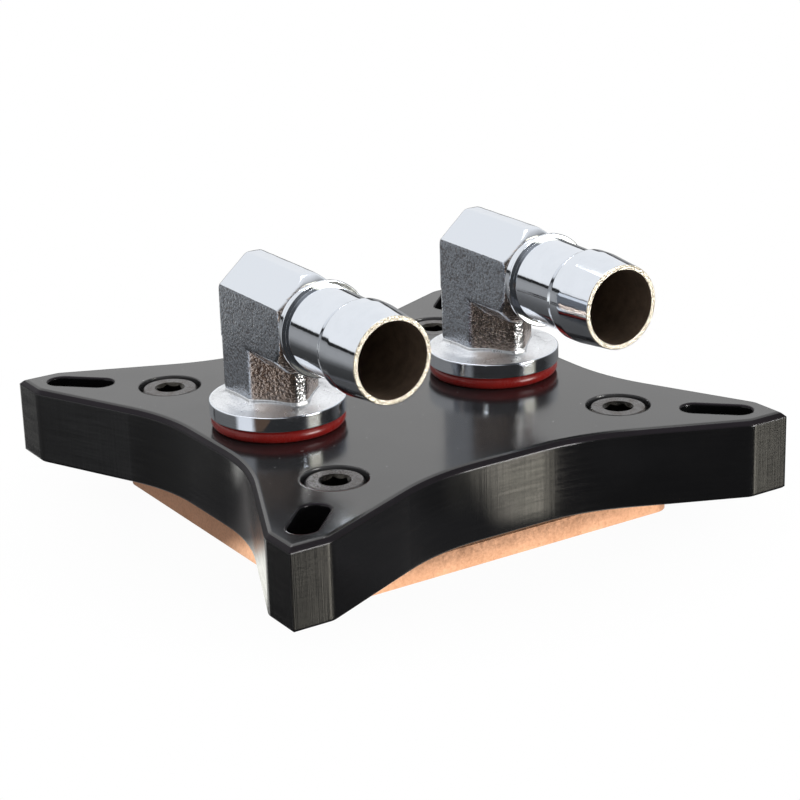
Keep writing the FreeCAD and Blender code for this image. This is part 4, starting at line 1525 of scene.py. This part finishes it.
@dataclass
class Studio:
    """Pale floor, white surroundings and soft lamps. Sizes in metres."""

    # the floor itself
    floor_colour: Colour = (0.62, 0.62, 0.62, 1.0)
    floor_roughness: float = 0.9
    floor_drop: float = 0.00002
    sheet_start: float = 0.098
    sheet_end: float = 0.104
    shade_start: float = 0.045
    shade_end: float = 0.070
    shade_least: float = 0.965
    # the floor in a gloss: painted shade, painted light and glowing cards
    shade: Colour = (0.09, 0.09, 0.095, 1.0)
    gloss_start: float = 0.046
    gloss_end: float = 0.052
    tongue: tuple[float, float] = (-0.010, -0.078)
    tongue_soft: float = 0.002
    tongue_slope: float = 0.54
    tongue_edge: float = -0.0181
    tongue_edge_soft: float = 0.0025
    # A gloss sees painted light on the apron in front of the base and painted shade beside it.
    apron: tuple[float, float] = (0.0265, 0.037)
    apron_soft: float = 0.001
    apron_fade: float = 0.004
    apron_painted_light: Colour = (1.0, 0.95, 0.87, 1.0)
    apron_painted_shade: Colour = (0.26, 0.25, 0.25, 1.0)
    # Glowing cards in a gloss: painted light.
    cards: tuple[Card, ...] = (Card(-66, 18, 0.034, 0.052, (1.6, 1.6, 1.5, 1.0)),)
    card_soft: float = 0.003
    card_fade: float = 0.3
    # the surroundings
    fill: float = 0.65
    behind_start: float = -0.35
    behind_end: float = 0.25
    patches: tuple[Patch, ...] = (
        Patch(-57, 16, -60, -4, (0.10, 0.066, 0.047, 1.0)),
        Patch(-87, 15, -34, 40, (0.85, 0.87, 0.9, 1.0)),
        Patch(-172, 7, -34, -6, (1.3, 1.3, 1.25, 1.0)),
        Patch(40, 12, -34, -6, (0.24, 0.23, 0.20, 1.0)),
        Patch(36.0, 3.0, -34, -6, (4.9, 4.65, 4.0, 1.0)),
        Patch(32, 11, 6, 40, (2.6, 2.45, 2.0, 1.0)),
    )
    patch_soft: float = 0.04
    patch_fade: float = 0.25
    lamps: tuple[Lamp, ...] = (
        Lamp("key_lamp", (0.08, 0.25, 0.85), (0, 0, 0.02), (0.55, 0.55), 1.6),
        Lamp("front_lamp", (0.38, -0.74, 0.10), (0, 0, 0.01), (0.34, 0.16), 4.0),
    )

    def gloss(self, recipe: Recipe, x: Socket, y: Socket, away: Socket) -> Socket:
        """Colour of the floor in a gloss, all painted: dark shade, a paler shade round the base,
        painted light on the apron in front of it, and glowing cards.

        Args:
            recipe: the floor's node tree.
            x: place on the floor, to the right.
            y: place on the floor, to the back.
            away: distance from the middle.

        Returns:
            The colour.
        """
        start, end = self.apron
        aside = recipe.maths("ABSOLUTE", x)
        front = recipe.times(
            recipe.rise(y, -end, self.apron_soft),
            recipe.fall(y, -start, self.apron_soft),
            recipe.span(aside, end, end + self.apron_fade, 1.0, 0.0),
        )
        depth = recipe.maths("MAXIMUM", aside, recipe.maths("ABSOLUTE", y))
        beside = recipe.span(depth, end, end + self.apron_fade, 1.0, 0.0)
        # Painted shade round the base, and painted light on the apron in front.
        colour = recipe.blend(beside, self.shade, self.apron_painted_shade)
        colour = recipe.blend(front, colour, self.apron_painted_light)
        azimuth = recipe.azimuth(x, y)
        for card in self.cards:
            share = recipe.times(
                recipe.about(azimuth, card.azimuth, card.half_width, self.card_fade),
                recipe.rise(away, card.near, self.card_soft),
                recipe.fall(away, card.far, self.card_soft),
            )
            # A glowing card: painted light.
            colour = recipe.blend(share, colour, card.colour)
        return colour

    def on_tongue(self, recipe: Recipe, x: Socket, y: Socket) -> Socket:
        """1 on a tongue of floor in front, whose right edge leans outwards: there a gloss still
        sees the floor's painted shade.

        Args:
            recipe: the floor's node tree.
            x: place on the floor, to the right.
            y: place on the floor, to the back.

        Returns:
            The value.
        """
        lean = recipe.plus(x, recipe.times(y, self.tongue_slope))
        left, front = self.tongue
        return recipe.times(
            recipe.fall(lean, self.tongue_edge, self.tongue_edge_soft),
            recipe.rise(x, left, self.tongue_soft),
            recipe.rise(y, front, self.tongue_soft),
        )

    def floor_finish(self) -> Material:
        """Pale and matt, white to the camera, in painted shade and light to a gloss, clear at its
        rim.

        A gloss sees it end closer in than the camera does, but for the tongue, where the painted
        shade stays.

        Returns:
            The finished material.
        """
        recipe = Recipe("pale_floor")
        plain = {
            "Base Color": self.floor_colour,
            "Roughness": self.floor_roughness,
            "Specular IOR Level": 0.0,
        }
        for name, value in plain.items():
            recipe.feed(recipe.shader.inputs[name], value)
        x, y = recipe.split(recipe.place((MM, MM, MM)))[:2]
        away = recipe.distance(x, y)
        path = recipe.add("ShaderNodeLightPath").outputs
        colour = self.gloss(recipe, x, y, away)
        colour = recipe.blend(path["Is Camera Ray"], colour, grey(1.0))
        light = recipe.add("ShaderNodeEmission", {"Color": colour}).outputs["Emission"]
        white = recipe.span(away, self.shade_start, self.shade_end, self.shade_least, 1.0)
        shown = recipe.times(recipe.seen(), white)
        shown = recipe.mix(shown, recipe.shader.outputs["BSDF"], light)
        past = recipe.times(
            recipe.span(away, self.gloss_start, self.gloss_end, 0.0, 1.0),
            path["Is Glossy Ray"],
            recipe.maths("SUBTRACT", 1.0, self.on_tongue(recipe, x, y)),
        )
        rim = recipe.span(away, self.sheet_start, self.sheet_end, 0.0, 1.0)
        clear = recipe.add("ShaderNodeBsdfTransparent").outputs["BSDF"]
        surface = recipe.mix(recipe.maths("MAXIMUM", past, rim), shown, clear)
        recipe.feed(recipe.output.inputs["Surface"], surface)
        return recipe.material

    def floor(self) -> None:
        """Lay a pale sheet that takes the object's shadow and runs out clear at its rim."""
        size = self.sheet_end
        corners = [(-size, -size, 0), (size, -size, 0), (size, size, 0), (-size, size, 0)]
        mesh = bpy.data.meshes.new("floor")
        mesh.from_pydata(corners, [], [(0, 1, 2, 3)])
        mesh.materials.append(self.floor_finish())
        floor = bpy.data.objects.new("floor", mesh)
        floor.location.z = -self.floor_drop
        bpy.context.scene.collection.objects.link(floor)

    def surroundings(self) -> None:
        """White world for the camera, a room with a dark horizon for gloss, even grey for light.

        The room's brightness is a ramp over elevation, one behind the object and one before
        it, with each patch laid over it where the azimuth lies within its half width.
        """
        world = bpy.data.worlds.new("surroundings")
        world.use_nodes = True
        nodes = Nodes(world.node_tree)
        x, y, z = nodes.split(nodes.add("ShaderNodeTexCoord").outputs["Generated"])
        lift = nodes.span(nodes.maths("ARCSINE", z), -math.pi / 2, math.pi / 2, 0.0, 1.0)
        behind, before = (
            nodes.ramp(lift, [(lift_share(angle), grey(level)) for angle, level in zone.value])
            for zone in (Zone.BEHIND, Zone.BEFORE)
        )
        share = nodes.span(y, self.behind_start, self.behind_end, 0.0, 1.0)
        room = nodes.blend(share, before, behind)
        azimuth = nodes.azimuth(x, y)
        for patch in self.patches:
            low, high = lift_share(patch.low), lift_share(patch.high)
            share = nodes.times(
                nodes.about(azimuth, patch.azimuth, patch.half_width, self.patch_fade),
                nodes.span(lift, low, low + self.patch_soft, 0.0, 1.0),
                nodes.span(lift, high - self.patch_soft, high, 1.0, 0.0),
            )
            room = nodes.blend(share, room, patch.colour)
        camera = nodes.add("ShaderNodeLightPath").outputs["Is Camera Ray"]
        shown = {"Color": nodes.blend(camera, room, grey(1.0)), "Strength": 1.0}
        light = {"Color": grey(1.0), "Strength": self.fill}
        light, shown = (
            nodes.add("ShaderNodeBackground", feeds).outputs["Background"]
            for feeds in (light, shown)
        )
        surface = nodes.mix(nodes.seen(), light, shown)
        nodes.add("ShaderNodeOutputWorld", {"Surface": surface})
        bpy.context.scene.world = world

    def build(self) -> None:
        """Set the floor, the surroundings and the lamps."""
        self.floor()
        self.surroundings()
        for lamp in self.lamps:
            lamp.hang()
        bpy.context.scene.view_settings.view_transform = "Standard"
        LOG.info("studio: floor, surroundings and %d lamps", len(self.lamps))


@dataclass(frozen=True)
class Viewpoint:
    """Camera over the front left corner, from a short distance above the cover."""

    azimuth: float = -32.24212
    elevation: float = 19.41916
    roll: float = -1.85012
    distance: float = 374.6485
    across: float = 1.79218
    upward: float = -0.84011
    focal: float = 102.0782
    film: float = 36.0
    nearest: float = 0.01
    cover_top: float = 17.5

    def build(self) -> None:
        """Make the camera and give it to the scene.

        Its three axes are the back direction from azimuth and elevation, and the right and
        up directions turned about it by the roll.
        """
        a, e, r = (math.radians(part) for part in (self.azimuth, self.elevation, self.roll))
        back = np.array([math.sin(a) * math.cos(e), -math.cos(a) * math.cos(e), math.sin(e)])
        right = np.array([math.cos(a), math.sin(a), 0.0])
        up = np.cross(back, right)
        axis_x = right * math.cos(r) + up * math.sin(r)
        axis_y = -right * math.sin(r) + up * math.cos(r)
        spot = axis_x * self.across + axis_y * self.upward + back * self.distance
        spot[2] += self.cover_top
        data = bpy.data.cameras.new("camera")
        data.sensor_width = self.film
        data.lens = self.focal
        data.clip_start = self.nearest
        camera = bpy.data.objects.new("camera", data)
        pose = np.eye(4)
        pose[:3] = np.stack([axis_x, axis_y, back, spot * MM], axis=1)
        camera.matrix_world = Matrix(pose.tolist())
        bpy.context.scene.collection.objects.link(camera)
        bpy.context.scene.camera = camera
        LOG.info("camera: %.1f degrees round, %.1f up", self.azimuth, self.elevation)


def main() -> None:
    """Build the dressed object, the studio and the camera."""
    logging.basicConfig(level=logging.INFO, format="%(name)s: %(message)s")
    Viewpoint().build()
    Studio().build()
    Block().build()
    Screws().build()
    Fittings().build()
    bpy.context.view_layer.update()
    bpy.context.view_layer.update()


if __name__ == "__main__":
    main()
